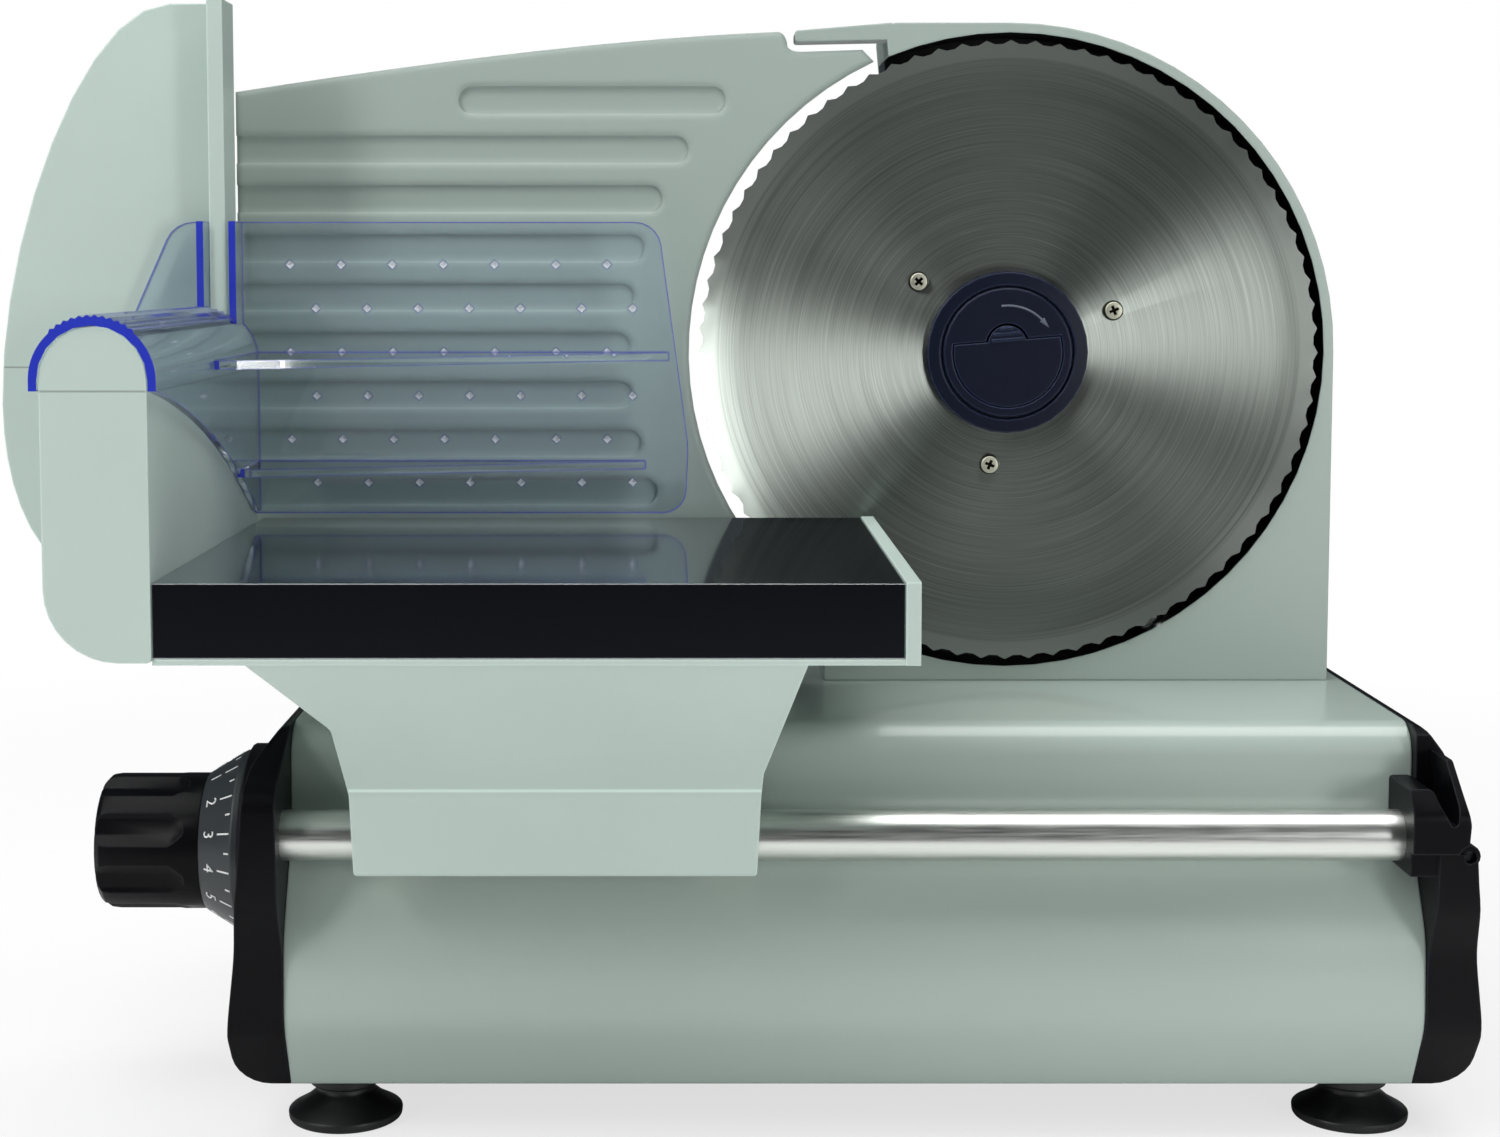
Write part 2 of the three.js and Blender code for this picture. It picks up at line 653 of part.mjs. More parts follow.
// Blade housing: an upright with the blade's recess in front and a pocket behind, closed by a cover
const ringTop = BLADE_Z + GUARD_RING;
const uprightFoot = BASE_TOP + SEAT;
const neckLeft = -38;
const uprightCorners = [
  [UPRIGHT_LEFT, uprightFoot],
  [GUARD_RING, uprightFoot],
  [GUARD_RING, ringTop, GUARD_RING],
  [neckLeft, ringTop, 3],
  [neckLeft + 2, BLADE_Z + 79, 4],
  [UPRIGHT_LEFT - 6, BLADE_Z + 41, 16],
  [UPRIGHT_LEFT - 6, BLADE_Z - 32, 10],
  [UPRIGHT_LEFT, BLADE_Z - 52, 10],
];
const pocketFloor = RECESS_FLOOR + UPRIGHT_WALL;
const pocketCorners = inset(uprightCorners, UPRIGHT_WALL);
const fingerZ = ringTop - 5.7;
const finger = alongY(
  outline([
    [FINGER_REACH, fingerZ, 0.8],
    [neckLeft + PAST, fingerZ + 0.6],
    [neckLeft + PAST, ringTop],
    [FINGER_REACH, fingerZ + FINGER_SHEET, 0.8],
  ]),
  [GUARD_FACE, GUARD_FACE + FINGER_DEPTH],
);
const COVER_SCREW_RADIUS = 2;
const coverScrews = [
  [UPRIGHT_LEFT + 12, uprightFoot + 13],
  [GUARD_RING - 14, uprightFoot + 13],
  [GUARD_RING - 26, BLADE_Z + 53],
  [neckLeft + 12, BLADE_Z + 86],
];
const screwDepth = [pocketFloor + PAST, UPRIGHT_BACK + PAST];
const wormTopSpan = [BLADE_Z + 24, BLADE_Z + 34];
const TOP_BEARING_RADIUS = 5.2;
const topBearingBlock = cut(
  box([wormX - 9, wormX + 9], [wormY - 6, RECESS_FLOOR + SEAT], wormTopSpan),
  barZ(TOP_BEARING_RADIUS + SEAT, [wormTopSpan[0] - PAST, wormTopSpan[1] + PAST], wormX, wormY, 8),
);
const SPINDLE_FLANGE = 15;
const spindleFront = 7;
part(
  machine,
  "blade_housing",
  cut(
    joined(
      cut(
        alongY(outline(uprightCorners), [GUARD_FACE, UPRIGHT_BACK]),
        barY(RECESS_RADIUS, [GUARD_FACE - PAST, RECESS_FLOOR], 0, BLADE_Z, 32),
        alongY(outline(pocketCorners), [pocketFloor, UPRIGHT_BACK + PAST]),
      ),
      finger,
      topBearingBlock,
      ...coverScrews.map(([x, z]) => barY(5, [pocketFloor - SEAT, UPRIGHT_BACK], x, z, 6)),
    ),
    barZ(SHAFT_RADIUS + 1, [BASE_TOP - PAST, BLADE_Z - RECESS_RADIUS / 2], wormX, wormY, 6),
    barY(SPINDLE_RADIUS + SEAT, [RECESS_FLOOR - PAST, pocketFloor + PAST], 0, BLADE_Z, 10),
    ...coverScrews.map(([x, z]) => barY(COVER_SCREW_RADIUS, screwDepth, x, z, 5)),
  ),
  GREY_PAINT(),
);
const coverFront = UPRIGHT_BACK + SEAT;
const coverBack = coverFront + COVER_DEPTH;
const COVER_BEVEL = 4;
const coverRim = coverBack - COVER_BEVEL;
const coverTop = inset(uprightCorners, COVER_BEVEL);
const coverHead = coverBack - SCREW_HEAD_RADIUS;
part(
  machine,
  "rear_cover",
  cut(
    joined(
      alongY(outline(uprightCorners), [coverFront, coverRim]),
      tapered(uprightCorners, coverTop, [coverRim, coverBack]),
    ),
    ...coverScrews.flatMap(([x, z]) => [
      barY(COVER_SCREW_RADIUS + SEAT, [coverFront - PAST, coverBack + PAST], x, z, 5),
      barY(SCREW_HEAD_RADIUS + SEAT, [coverHead, coverBack + PAST], x, z, 6),
    ]),
  ),
  GREY_PAINT(),
);
const screwProfile = (under, length, height) => [
  [0, under + length],
  [SCREW_SHANK_RADIUS, under + length],
  [SCREW_SHANK_RADIUS, under],
  [SCREW_HEAD_RADIUS, under],
  [SCREW_HEAD_RADIUS, under - height * 0.5],
  [SCREW_HEAD_RADIUS * 0.7, under - height],
  [0, under - height],
];
coverScrews.forEach(([x, z], i) => {
  const profile = screwProfile(0, 14, 2).map(([r, y]) => [r, coverHead + SEAT - y]);
  part(machine, `cover_screw_${i + 1}`, turnedY(profile, x, z, 8), STEEL());
});

// Spindle: a stub axle fixed in the recess floor
part(
  machine,
  "blade_spindle",
  turnedY(
    [
      [0, spindleFront],
      [SPINDLE_RADIUS - 0.6, spindleFront],
      [SPINDLE_RADIUS, spindleFront + 0.6],
      [SPINDLE_RADIUS, pocketFloor + SEAT],
      [SPINDLE_FLANGE, pocketFloor + SEAT],
      [SPINDLE_FLANGE, pocketFloor + 4],
      [0, pocketFloor + 4],
    ],
    0,
    BLADE_Z,
  ),
  STEEL(),
);

// Blade: a dished disc with a ground, scalloped rim
const blade = movingGroup(machine, 0, 0, BLADE_Z);
const bladeBack = BLADE_DISH + BLADE_SHEET;
const gearBore = SPINDLE_RADIUS + RUN / 2 + BUSH_WALL + SEAT;
const flatRadius = BLADE_RADIUS - BEVEL_WIDTH - DISH_SLOPE;
const groundRadius = BLADE_RADIUS - BEVEL_WIDTH;
const EDGE = 0.4;
const bladeProfile = [
  [gearBore, BLADE_DISH],
  [flatRadius, BLADE_DISH],
  [groundRadius, 1],
  [BLADE_RADIUS + 1, -0.2],
  [BLADE_RADIUS + 1, EDGE],
  [groundRadius, 1 + BLADE_SHEET],
  [flatRadius, bladeBack],
  [gearBore, bladeBack],
  [gearBore, BLADE_DISH],
];
const rim = new THREE.Shape();
const polar = (radius, angle) => [radius * Math.cos(angle), radius * Math.sin(angle)];
rim.moveTo(BLADE_RADIUS, 0);
for (let i = 0; i < SCALLOPS; i++) {
  const hollow = polar(BLADE_RADIUS - 2 * SCALLOP_DEPTH, ((i + 0.5) * 2 * Math.PI) / SCALLOPS);
  const tip = polar(BLADE_RADIUS, ((i + 1) * 2 * Math.PI) / SCALLOPS);
  rim.quadraticCurveTo(...hollow, ...tip);
}
const screwPlaces = BLADE_SCREW_ANGLES.map((angle) => polar(BLADE_SCREW_CIRCLE, degrees(angle)));
const screwHoles = screwPlaces.map(([x, z]) =>
  barY(SCREW_SHANK_RADIUS + SEAT, [BLADE_DISH - PAST, gearFront + GEAR_WIDTH + PAST], x, z, 5),
);
part(
  blade,
  "blade_disc",
  cut(
    turnedY(bladeProfile, 0, 0, SCALLOPS / 2).intersect(alongY(rim, [-PAST, bladeBack + PAST], 3)),
    ...screwHoles,
  ),
  STEEL(),
);

// Blade gear: helical teeth to suit the worm, on a flange screwed to the blade
const pitchRadius = (GEAR_TEETH * GEAR_MODULE) / 2;
const wormPitch = Math.PI * GEAR_MODULE;
const lead = wormPitch / (2 * Math.PI * WORM_PITCH_RADIUS);
const ADDENDUM = 0.87 * GEAR_MODULE;
const DEDENDUM = 1.15 * GEAR_MODULE;
const FLANK = Math.tan(degrees(20));
const halfTooth = wormPitch / 4 - TOOTH_BACKLASH / 2;
const toothed = new THREE.Shape();
for (let i = 0; i < GEAR_TEETH; i++) {
  const middle = (i * 2 * Math.PI) / GEAR_TEETH;
  const rootHalf = (halfTooth + DEDENDUM * FLANK) / pitchRadius;
  const tipHalf = (halfTooth - ADDENDUM * FLANK) / pitchRadius;
  const points = [
    polar(pitchRadius - DEDENDUM, middle - rootHalf),
    polar(pitchRadius + ADDENDUM, middle - tipHalf),
    polar(pitchRadius + ADDENDUM, middle + tipHalf),
    polar(pitchRadius - DEDENDUM, middle + rootHalf),
  ];
  points.forEach(([x, z], k) => (i + k === 0 ? toothed.moveTo(x, z) : toothed.lineTo(x, z)));
}
const twisted = extruded(toothed, GEAR_WIDTH, 4)
  .rotateX(Math.PI / 2)
  .translate(0, gearFront + GEAR_WIDTH, 0);
const spots = twisted.getAttribute("position");
for (let i = 0; i < spots.count; i++) {
  const turn = (-(spots.getY(i) - wormY) * lead) / pitchRadius;
  const [x, z] = [spots.getX(i), spots.getZ(i)];
  spots.setX(i, x * Math.cos(turn) - z * Math.sin(turn));
  spots.setZ(i, x * Math.sin(turn) + z * Math.cos(turn));
}
const flangeSpan = [bladeBack + SEAT, gearFront + SEAT];
part(
  blade,
  "blade_gear",
  cut(
    joined(solid(twisted), barY(BLADE_SCREW_CIRCLE + 4, flangeSpan, 0, 0, 16)),
    barY(gearBore, [0, gearFront + GEAR_WIDTH + PAST], 0, 0, 12),
    ...screwHoles,
  ),
  NYLON(),
);
const bushSpan = [spindleFront + 0.6, gearFront + GEAR_WIDTH];
part(
  blade,
  "gear_bush",
  turnedY(ringOf(SPINDLE_RADIUS + RUN / 2, gearBore - SEAT, ...bushSpan), 0, 0),
  BRONZE(),
);
screwPlaces.forEach(([x, z], i) => {
  const profile = screwProfile(BLADE_DISH - SEAT, 9, 1.5);
  part(blade, `blade_screw_${i + 1}`, turnedY(profile, x, z, 10), BRONZE());
});
part(
  blade,
  "lock_collar",
  turnedY(
    [
      [LOCK_RADIUS + RUN, BLADE_DISH - SEAT],
      [COLLAR_RADIUS, BLADE_DISH - SEAT],
      [COLLAR_RADIUS - 0.4, LOCK_FACE + 0.6],
      [LOCK_RADIUS + RUN + 0.5, LOCK_FACE + 0.3],
      [LOCK_RADIUS + RUN, LOCK_FACE + 0.8],
      [LOCK_RADIUS + RUN, BLADE_DISH - SEAT],
    ],
    0,
    0,
    32,
  ),
  LOCK_PLASTIC(),
);

// Blade lock: a knob with a half-moon flap that is pressed at its tab to swing out as a handle
const lock = movingGroup(blade, 0, 0, 0);
lock.rotation.y = degrees(-FLAP_TILT);
const FLAP_AXIS_DROP = 1.1;
const flapAxisY = LOCK_FACE + FLAP_SHEET / 2;
const flapAxisZ = FLAP_CHORD - FLAP_AXIS_DROP;
const tabMiddle = FLAP_CHORD + TAB_RISE - TAB_RADIUS;
function halfMoon(grow) {
  const radius = FLAP_RADIUS + grow;
  const chord = FLAP_CHORD + grow;
  const tab = TAB_RADIUS + grow;
  const end = Math.asin(chord / radius);
  const tabEnd = Math.asin((chord - tabMiddle) / tab);
  const shape = new THREE.Shape();
  shape.absarc(0, 0, radius, Math.PI - end, 2 * Math.PI + end);
  shape.absarc(0, tabMiddle, tab, tabEnd, Math.PI - tabEnd);
  return shape;
}
const BOSS_RADIUS = gearBore - 0.7;
const recessBack = flapAxisY + 1.5;
function tabArch() {
  const radius = TAB_RADIUS + TAB_GAP;
  const foot = flapAxisZ - 1.2;
  const shape = new THREE.Shape();
  shape.moveTo(-radius, foot);
  shape.lineTo(radius, foot);
  shape.absarc(0, tabMiddle, radius, 0, Math.PI);
  return shape;
}
part(
  lock,
  "lock_knob",
  cut(
    turnedY(
      [
        [0, LOCK_FACE],
        [LOCK_RADIUS - 0.5, LOCK_FACE],
        [LOCK_RADIUS, LOCK_FACE + 0.5],
        [LOCK_RADIUS, BLADE_DISH - SEAT],
        [BOSS_RADIUS, BLADE_DISH - SEAT],
        [BOSS_RADIUS, spindleFront - SEAT],
        [0, spindleFront - SEAT],
      ],
      0,
      0,
      30,
    ),
    alongY(halfMoon(RUN), [LOCK_FACE - PAST, recessBack], 9),
    alongY(tabArch(), [LOCK_FACE - PAST, spindleFront], 9),
  ),
  LOCK_PLASTIC(),
);
const flap = movingGroup(lock, 0, flapAxisY, flapAxisZ);
const RIDGE_HALF = 0.35;
const ridgeSpan = [LOCK_FACE - RIDGE_HALF, LOCK_FACE + SEAT];
const ridges = [
  [0.4, 0.78],
  [2.2, 0.66],
  [3.7, 0.3],
].map(([up, share]) => {
  const half = TAB_RADIUS * share;
  const middle = FLAP_CHORD + up;
  return box([-half, half], ridgeSpan, [middle - RIDGE_HALF, middle + RIDGE_HALF]);
});
part(
  flap,
  "lock_flap",
  joined(alongY(halfMoon(0), [LOCK_FACE, LOCK_FACE + FLAP_SHEET], 9), ...ridges).translate([
    0,
    -flapAxisY,
    -flapAxisZ,
  ]),
  LOCK_PLASTIC(),
);

// Motor standing in the base, with the worm on its long shaft
const motorHole = SHAFT_RADIUS + RUN / 2;
const MOTOR_FLOOR = 8;
part(
  machine,
  "motor_body",
  turnedZ(
    [
      [motorHole, MOTOR_BOTTOM],
      [MOTOR_RADIUS - 3, MOTOR_BOTTOM],
      [MOTOR_RADIUS, MOTOR_BOTTOM + 3],
      [MOTOR_RADIUS, MOTOR_TOP],
      [ROTOR_RADIUS + RUN, MOTOR_TOP],
      [ROTOR_RADIUS + RUN, MOTOR_BOTTOM + MOTOR_FLOOR],
      [motorHole, MOTOR_BOTTOM + MOTOR_FLOOR],
      [motorHole, MOTOR_BOTTOM],
    ],
    wormX,
    wormY,
    20,
  ),
  STEEL(),
);
const bracketSpan = [MOTOR_TOP + SEAT, MOTOR_TOP + 4];
const underTop = BASE_TOP - HOUSING_WALL - SEAT;
part(
  machine,
  "motor_bracket",
  cut(
    joined(
      box([wormX - 36, wormX + 36], [wormY - 20, wormY + 20], bracketSpan),
      barZ(5, [bracketSpan[1] - SEAT, underTop], wormX - 28, wormY, 6),
      barZ(5, [bracketSpan[1] - SEAT, underTop], wormX + 28, wormY, 6),
    ),
    barZ(motorHole, [MOTOR_TOP - PAST, BASE_TOP], wormX, wormY, 8),
  ),
  STEEL(),
);
part(
  machine,
  "worm_top_bearing",
  turnedZ(ringOf(motorHole, TOP_BEARING_RADIUS, ...wormTopSpan), wormX, wormY, 16),
  BRONZE(),
);
const worm = movingGroup(machine, wormX, wormY, 0);
const WORM_STEPS = 12;
const coreRadius = WORM_PITCH_RADIUS - DEDENDUM;
const wormHalf = (WORM_TURNS * wormPitch) / 2 + 2;
const threadRings = [];
for (let i = 0; i <= WORM_TURNS * WORM_STEPS; i++) {
  const angle = ((i - (WORM_TURNS * WORM_STEPS) / 2) * 2 * Math.PI) / WORM_STEPS;
  const height = BLADE_Z + (wormPitch * angle) / (2 * Math.PI);
  const inRadius = coreRadius - 0.4;
  const outRadius = WORM_PITCH_RADIUS + ADDENDUM;
  const inHalf = halfTooth + (WORM_PITCH_RADIUS - inRadius) * FLANK;
  const outHalf = halfTooth - ADDENDUM * FLANK;
  const at = (radius, up) =>
    new THREE.Vector3(radius * Math.cos(angle), radius * Math.sin(angle), height + up);
  const lower = [at(inRadius, -inHalf), at(outRadius, -outHalf)];
  const upper = [at(outRadius, outHalf), at(inRadius, inHalf)];
  threadRings.push([...lower, ...upper]);
}
const shaftFoot = MOTOR_BOTTOM + 1;
part(
  worm,
  "worm_shaft",
  joined(
    turnedZ(
      [
        [0, shaftFoot],
        [SHAFT_RADIUS, shaftFoot],
        [SHAFT_RADIUS, BLADE_Z - wormHalf],
        [coreRadius, BLADE_Z - wormHalf],
        [coreRadius, BLADE_Z + wormHalf],
        [SHAFT_RADIUS, BLADE_Z + wormHalf],
        [SHAFT_RADIUS, wormTopSpan[1]],
        [0, wormTopSpan[1]],
      ],
      0,
      0,
      WORM_STEPS,
    ),
    lofted(threadRings),
  ),
  STEEL(),
);
part(
  worm,
  "motor_rotor",
  turnedZ(
    ringOf(SHAFT_RADIUS + SEAT, ROTOR_RADIUS, MOTOR_BOTTOM + MOTOR_FLOOR + 6, MOTOR_TOP - 14),
    0,
    0,
    16,
  ),
  STEEL(),
);

// Carriage: tray, its frame, the wall with rail and hand guard, and the bracket that rides on the rod
const carriage = movingGroup(machine, 0, 0, 0);
const trayBottom = TRAY_TOP - TRAY_DEEP;
const frameTop = TRAY_TOP - TRAY_SHEET - SEAT;
const coverFoot = trayBottom + 1.6;
const trayX = [TRAY_LEFT, TRAY_RIGHT];
part(
  carriage,
  "tray_cover",
  cut(
    box(trayX, [TRAY_FRONT, TRAY_BACK], [coverFoot, TRAY_TOP]),
    box(
      [TRAY_LEFT - PAST, TRAY_RIGHT + PAST],
      [TRAY_FRONT + TRAY_SHEET, TRAY_BACK + PAST],
      [coverFoot - PAST, TRAY_TOP - TRAY_SHEET],
    ),
  ),
  MIRROR_STEEL(),
);
const trimX = [TRAY_RIGHT + SEAT, TRAY_RIGHT + TRIM_WIDTH];
const POCKETS_X = 5;
const POCKETS_Y = 4;
const RIB = 3;
const pocketPitchX = (TRAY_RIGHT - TRAY_LEFT - RIB) / POCKETS_X;
const pocketPitchY = (TRAY_BACK - TRAY_FRONT - 2 * RIB) / POCKETS_Y;
const pockets = [];
for (let i = 0; i < POCKETS_X; i++) {
  for (let k = 0; k < POCKETS_Y; k++) {
    const x = TRAY_LEFT + RIB + i * pocketPitchX;
    const y = TRAY_FRONT + 2 * RIB + k * pocketPitchY;
    pockets.push(
      box([x, x + pocketPitchX - RIB], [y, y + pocketPitchY - RIB], [trayBottom - PAST, frameTop - RIB]),
    );
  }
}
part(
  carriage,
  "tray_frame",
  cut(
    joined(
      box([TRAY_LEFT, trimX[1]], [TRAY_FRONT + TRAY_SHEET + SEAT, TRAY_BACK], [trayBottom, frameTop]),
      box(trimX, [TRAY_FRONT - 0.4, TRAY_BACK], [trayBottom, TRAY_TOP + 0.4]),
      box([TRAY_LEFT, trimX[1]], [TRAY_FRONT, TRAY_FRONT + 2 * RIB], [trayBottom, coverFoot - SEAT]),
    ),
    ...pockets,
  ),
  GREY_PLASTIC(),
);

// Wall: a hollow post with a half-round rail on top, and the hand guard across its back
const postRight = TRAY_LEFT - SEAT;
const postLeft = postRight - POST_WIDTH;
const railRadius = POST_WIDTH / 2 - 0.01;
const railX = (postLeft + postRight) / 2;
const railZ = RAIL_TOP - railRadius;
const postFront = TRAY_FRONT - 0.6;
const postCorners = [
  [postLeft, trayBottom + 0.6, 18],
  [postRight, trayBottom + 0.6, 1],
  [postRight, RAIL_TOP, railRadius],
  [postLeft, RAIL_TOP, railRadius],
];
const guardBack = HAND_GUARD_FRONT + HAND_GUARD_SHEET;
const guardRight = postLeft + 20.6;
const guardFoot = trayBottom + 3;
const handGuard = new THREE.Shape();
handGuard.moveTo(guardRight, guardFoot);
handGuard.lineTo(guardRight, HAND_GUARD_TOP);
handGuard.lineTo(guardRight - 18, HAND_GUARD_TOP);
handGuard.bezierCurveTo(
  guardRight - 44,
  HAND_GUARD_TOP,
  HAND_GUARD_LEFT,
  HAND_GUARD_TOP - 70,
  HAND_GUARD_LEFT,
  HAND_GUARD_TOP - 119,
);
handGuard.bezierCurveTo(
  HAND_GUARD_LEFT,
  guardFoot + 24,
  HAND_GUARD_LEFT + 10,
  guardFoot,
  HAND_GUARD_LEFT + 30,
  guardFoot,
);
const guardRib = [guardRight - 4.6, guardRight];
const hollowSpan = [postFront + POST_WALL, HAND_GUARD_FRONT - POST_WALL];
const postHollow = alongY(outline(inset(postCorners, POST_WALL)), hollowSpan);
const postMouth = box(
  [postLeft + 9, postRight - POST_WALL],
  [postFront + POST_WALL, HAND_GUARD_FRONT - HAND_GUARD_RIB],
  [trayBottom - PAST, trayBottom + 20],
);
part(
  carriage,
  "carriage_wall",
  joined(
    cut(alongY(outline(postCorners), [postFront, HAND_GUARD_FRONT + SEAT], 6), postHollow, postMouth),
    alongY(handGuard, [HAND_GUARD_FRONT, guardBack], 10),
    box(guardRib, [HAND_GUARD_FRONT - HAND_GUARD_RIB + POST_WALL, guardBack], [guardFoot, HAND_GUARD_TOP]),
  ),
  GREY_PLASTIC(),
);

// Bracket: a hollow saddle, wide under the tray and narrow over the rod
const bracketTop = trayBottom - SEAT;
const bracketBack = BASE_FRONT - 3.2;
const glideTop = BASE_TOP + 6;
const bracketSide = [
  [BRACKET_FRONT + 2, BRACKET_BOTTOM, 2],
  [ROD_Y + ROD_RADIUS, BRACKET_BOTTOM],
  [bracketBack, ROD_Z - 1],
  [bracketBack, glideTop],
  [SADDLE_BACK, glideTop],
  [SADDLE_BACK, bracketTop],
  [SADDLE_FRONT, bracketTop],
  [BRACKET_FRONT - 1.2, ROD_Z + 15.4, 1.5],
  [BRACKET_FRONT, ROD_Z + 14, 1],
];
const bracketFace = [
  [BRACKET_LEFT + 1.5, BRACKET_BOTTOM, 1.5],
  [BRACKET_RIGHT - 1.5, BRACKET_BOTTOM, 1.5],
  [BRACKET_RIGHT, ROD_Z + 22, 3],
  [BRACKET_RIGHT + 10, bracketTop],
  [BRACKET_LEFT - 18.5, bracketTop],
  [BRACKET_LEFT, ROD_Z + 37, 3],
];
const faceDepth = [TRAY_FRONT, TRAY_BACK];
const sideWidth = [BRACKET_LEFT - 30, BRACKET_RIGHT + 30];
const bracketRoom = [
  [BRACKET_FRONT + 2 + BRACKET_WALL, BRACKET_BOTTOM - PAST],
  [bracketBack - BRACKET_WALL + 0.6, BRACKET_BOTTOM - PAST],
  [bracketBack - BRACKET_WALL + 0.6, glideTop + BRACKET_WALL],
  [SADDLE_BACK - BRACKET_WALL, glideTop + BRACKET_WALL],
  [SADDLE_BACK - BRACKET_WALL, bracketTop - BRACKET_WALL],
  [SADDLE_FRONT + 3 * BRACKET_WALL, bracketTop - BRACKET_WALL],
  [BRACKET_FRONT + BRACKET_WALL, ROD_Z + 14],
];
const belowBracket = inset(bracketFace, BRACKET_WALL).map(([x, z, r]) => [
  x,
  z < BRACKET_BOTTOM + 2 * BRACKET_WALL ? BRACKET_BOTTOM - 2 * PAST : z,
  r,
]);
const bushRadius = ROD_RADIUS + RUN / 2 + 1.6;
part(
  carriage,
  "carriage_bracket",
  cut(
    alongX(outline(bracketSide), sideWidth).intersect(alongY(outline(bracketFace), faceDepth)),
    alongX(outline(bracketRoom), sideWidth).intersect(alongY(outline(belowBracket), faceDepth)),
    barX(bushRadius + SEAT, sideWidth, ROD_Y, ROD_Z),
    alongX(outline(inset(baseCorners, -RUN)), sideWidth),
  ),
  GREY_PLASTIC(),
);
const bushProfile = (x) => ringOf(ROD_RADIUS + RUN / 2, bushRadius, x, x + BUSH_LENGTH);
part(carriage, "rod_bush_left", turnedX(bushProfile(BRACKET_LEFT + 2), ROD_Y, ROD_Z, 20), NYLON());
part(
  carriage,
  "rod_bush_right",
  turnedX(bushProfile(BRACKET_RIGHT - 2 - BUSH_LENGTH), ROD_Y, ROD_Z, 20),
  NYLON(),
);
part(
  carriage,
  "carriage_glide",
  alongX(
    outline([
      [BASE_FRONT + 26, BASE_TOP + RUN, 2],
      [BASE_FRONT + 40, BASE_TOP + RUN, 2],
      [BASE_FRONT + 40, glideTop - SEAT],
      [BASE_FRONT + 26, glideTop - SEAT],
    ]),
    [BRACKET_LEFT + 40, BRACKET_RIGHT - 40],
  ),
  NYLON(),
);

// Food pusher: a ridged arch over the rail, a spiked plate with a lipped slot, a side web and two gussets
const pusher = movingGroup(carriage, 0, 0, 0);
const archIn = railRadius + RUN;
const archOut = archIn + PUSHER_WALL;
const archFoot = railZ - 2.5;
const plateSpan = [PUSHER_PLATE - PUSHER_SHEET, PUSHER_PLATE];
const archSpan = [postFront - RUN, PUSHER_PLATE];
const arch = new THREE.Shape();
arch.moveTo(railX + archOut, archFoot);
arch.lineTo(railX + archOut, railZ);
const RIDGE_FROM = 48;
const RIDGE_STEP = (180 - 2 * RIDGE_FROM) / (2 * PUSHER_RIDGES);
arch.absarc(railX, railZ, archOut, 0, degrees(RIDGE_FROM));
for (let i = 1; i < 2 * PUSHER_RIDGES; i++) {
  const [x, z] = polar(archOut + (i % 2) * 0.6, degrees(RIDGE_FROM + i * RIDGE_STEP));
  arch.lineTo(railX + x, railZ + z);
}
arch.absarc(railX, railZ, archOut, degrees(180 - RIDGE_FROM), Math.PI);
arch.lineTo(railX - archOut, archFoot);
arch.lineTo(railX - archIn, archFoot);
arch.absarc(railX, railZ, archIn, Math.PI, 0, true);
arch.lineTo(railX + archIn, archFoot);
const railRoom = new THREE.Shape();
railRoom.moveTo(railX + archIn, PUSHER_BOTTOM - PAST);
railRoom.lineTo(railX + archIn, railZ);
railRoom.absarc(railX, railZ, archIn, 0, Math.PI);
railRoom.lineTo(railX - archIn, PUSHER_BOTTOM - PAST);
const webRight = railX + archOut;
const webLeft = railX + archIn;
const pusherFace = outline([
  [webLeft, PUSHER_BOTTOM, 1],
  [PUSHER_RIGHT - 1, PUSHER_BOTTOM, 7],
  [PUSHER_RIGHT, PUSHER_BOTTOM + 20, 20],
  [PUSHER_RIGHT - 9, PUSHER_TOP, 8],
  [railX - 9, PUSHER_TOP, 9],
  [railX - 22, railZ + 12, 3],
  [railX - archOut, railZ + 6],
  [railX - archOut, archFoot],
  [webLeft, archFoot],
]);
const web = new THREE.Shape();
web.moveTo(archSpan[0], archFoot + 1);
web.lineTo(archSpan[0], archFoot);
web.quadraticCurveTo(PUSHER_PLATE - 64, archFoot - 11, plateSpan[0] - 2, PUSHER_BOTTOM + 1);
web.lineTo(PUSHER_PLATE, PUSHER_BOTTOM + 1);
web.lineTo(PUSHER_PLATE, archFoot + 1);
const GUSSET = 2.4;
const gusset = (reach, right, z) =>
  alongZ(
    outline([
      [webRight - 1, PUSHER_PLATE - 1],
      [webRight - 1, plateSpan[0] - reach],
      [webRight + 6, plateSpan[0] - reach],
      [right, plateSpan[0] - 1],
      [right, PUSHER_PLATE - 1],
    ]),
    [z, z + GUSSET],
  );
const SLOT_LIP = 10;
const slot = [guardRib[0] - 1.4, guardRib[1] + 1.4];
const lipSpan = [plateSpan[0] - SLOT_LIP, PUSHER_PLATE];
const slotLips = [slot[0] - PUSHER_WALL, slot[1]].map((x) =>
  box([x, x + PUSHER_WALL], lipSpan, [railZ, PUSHER_TOP]),
);
const throughPlate = [lipSpan[0] - PAST, PUSHER_PLATE + PAST];
const ribSlot = box(
  slot,
  [HAND_GUARD_FRONT - HAND_GUARD_RIB + POST_WALL - RUN, PUSHER_PLATE + PAST],
  [archFoot, PUSHER_TOP + PAST],
);
const SPIKE_HEIGHT = 2;
const spikes = [];
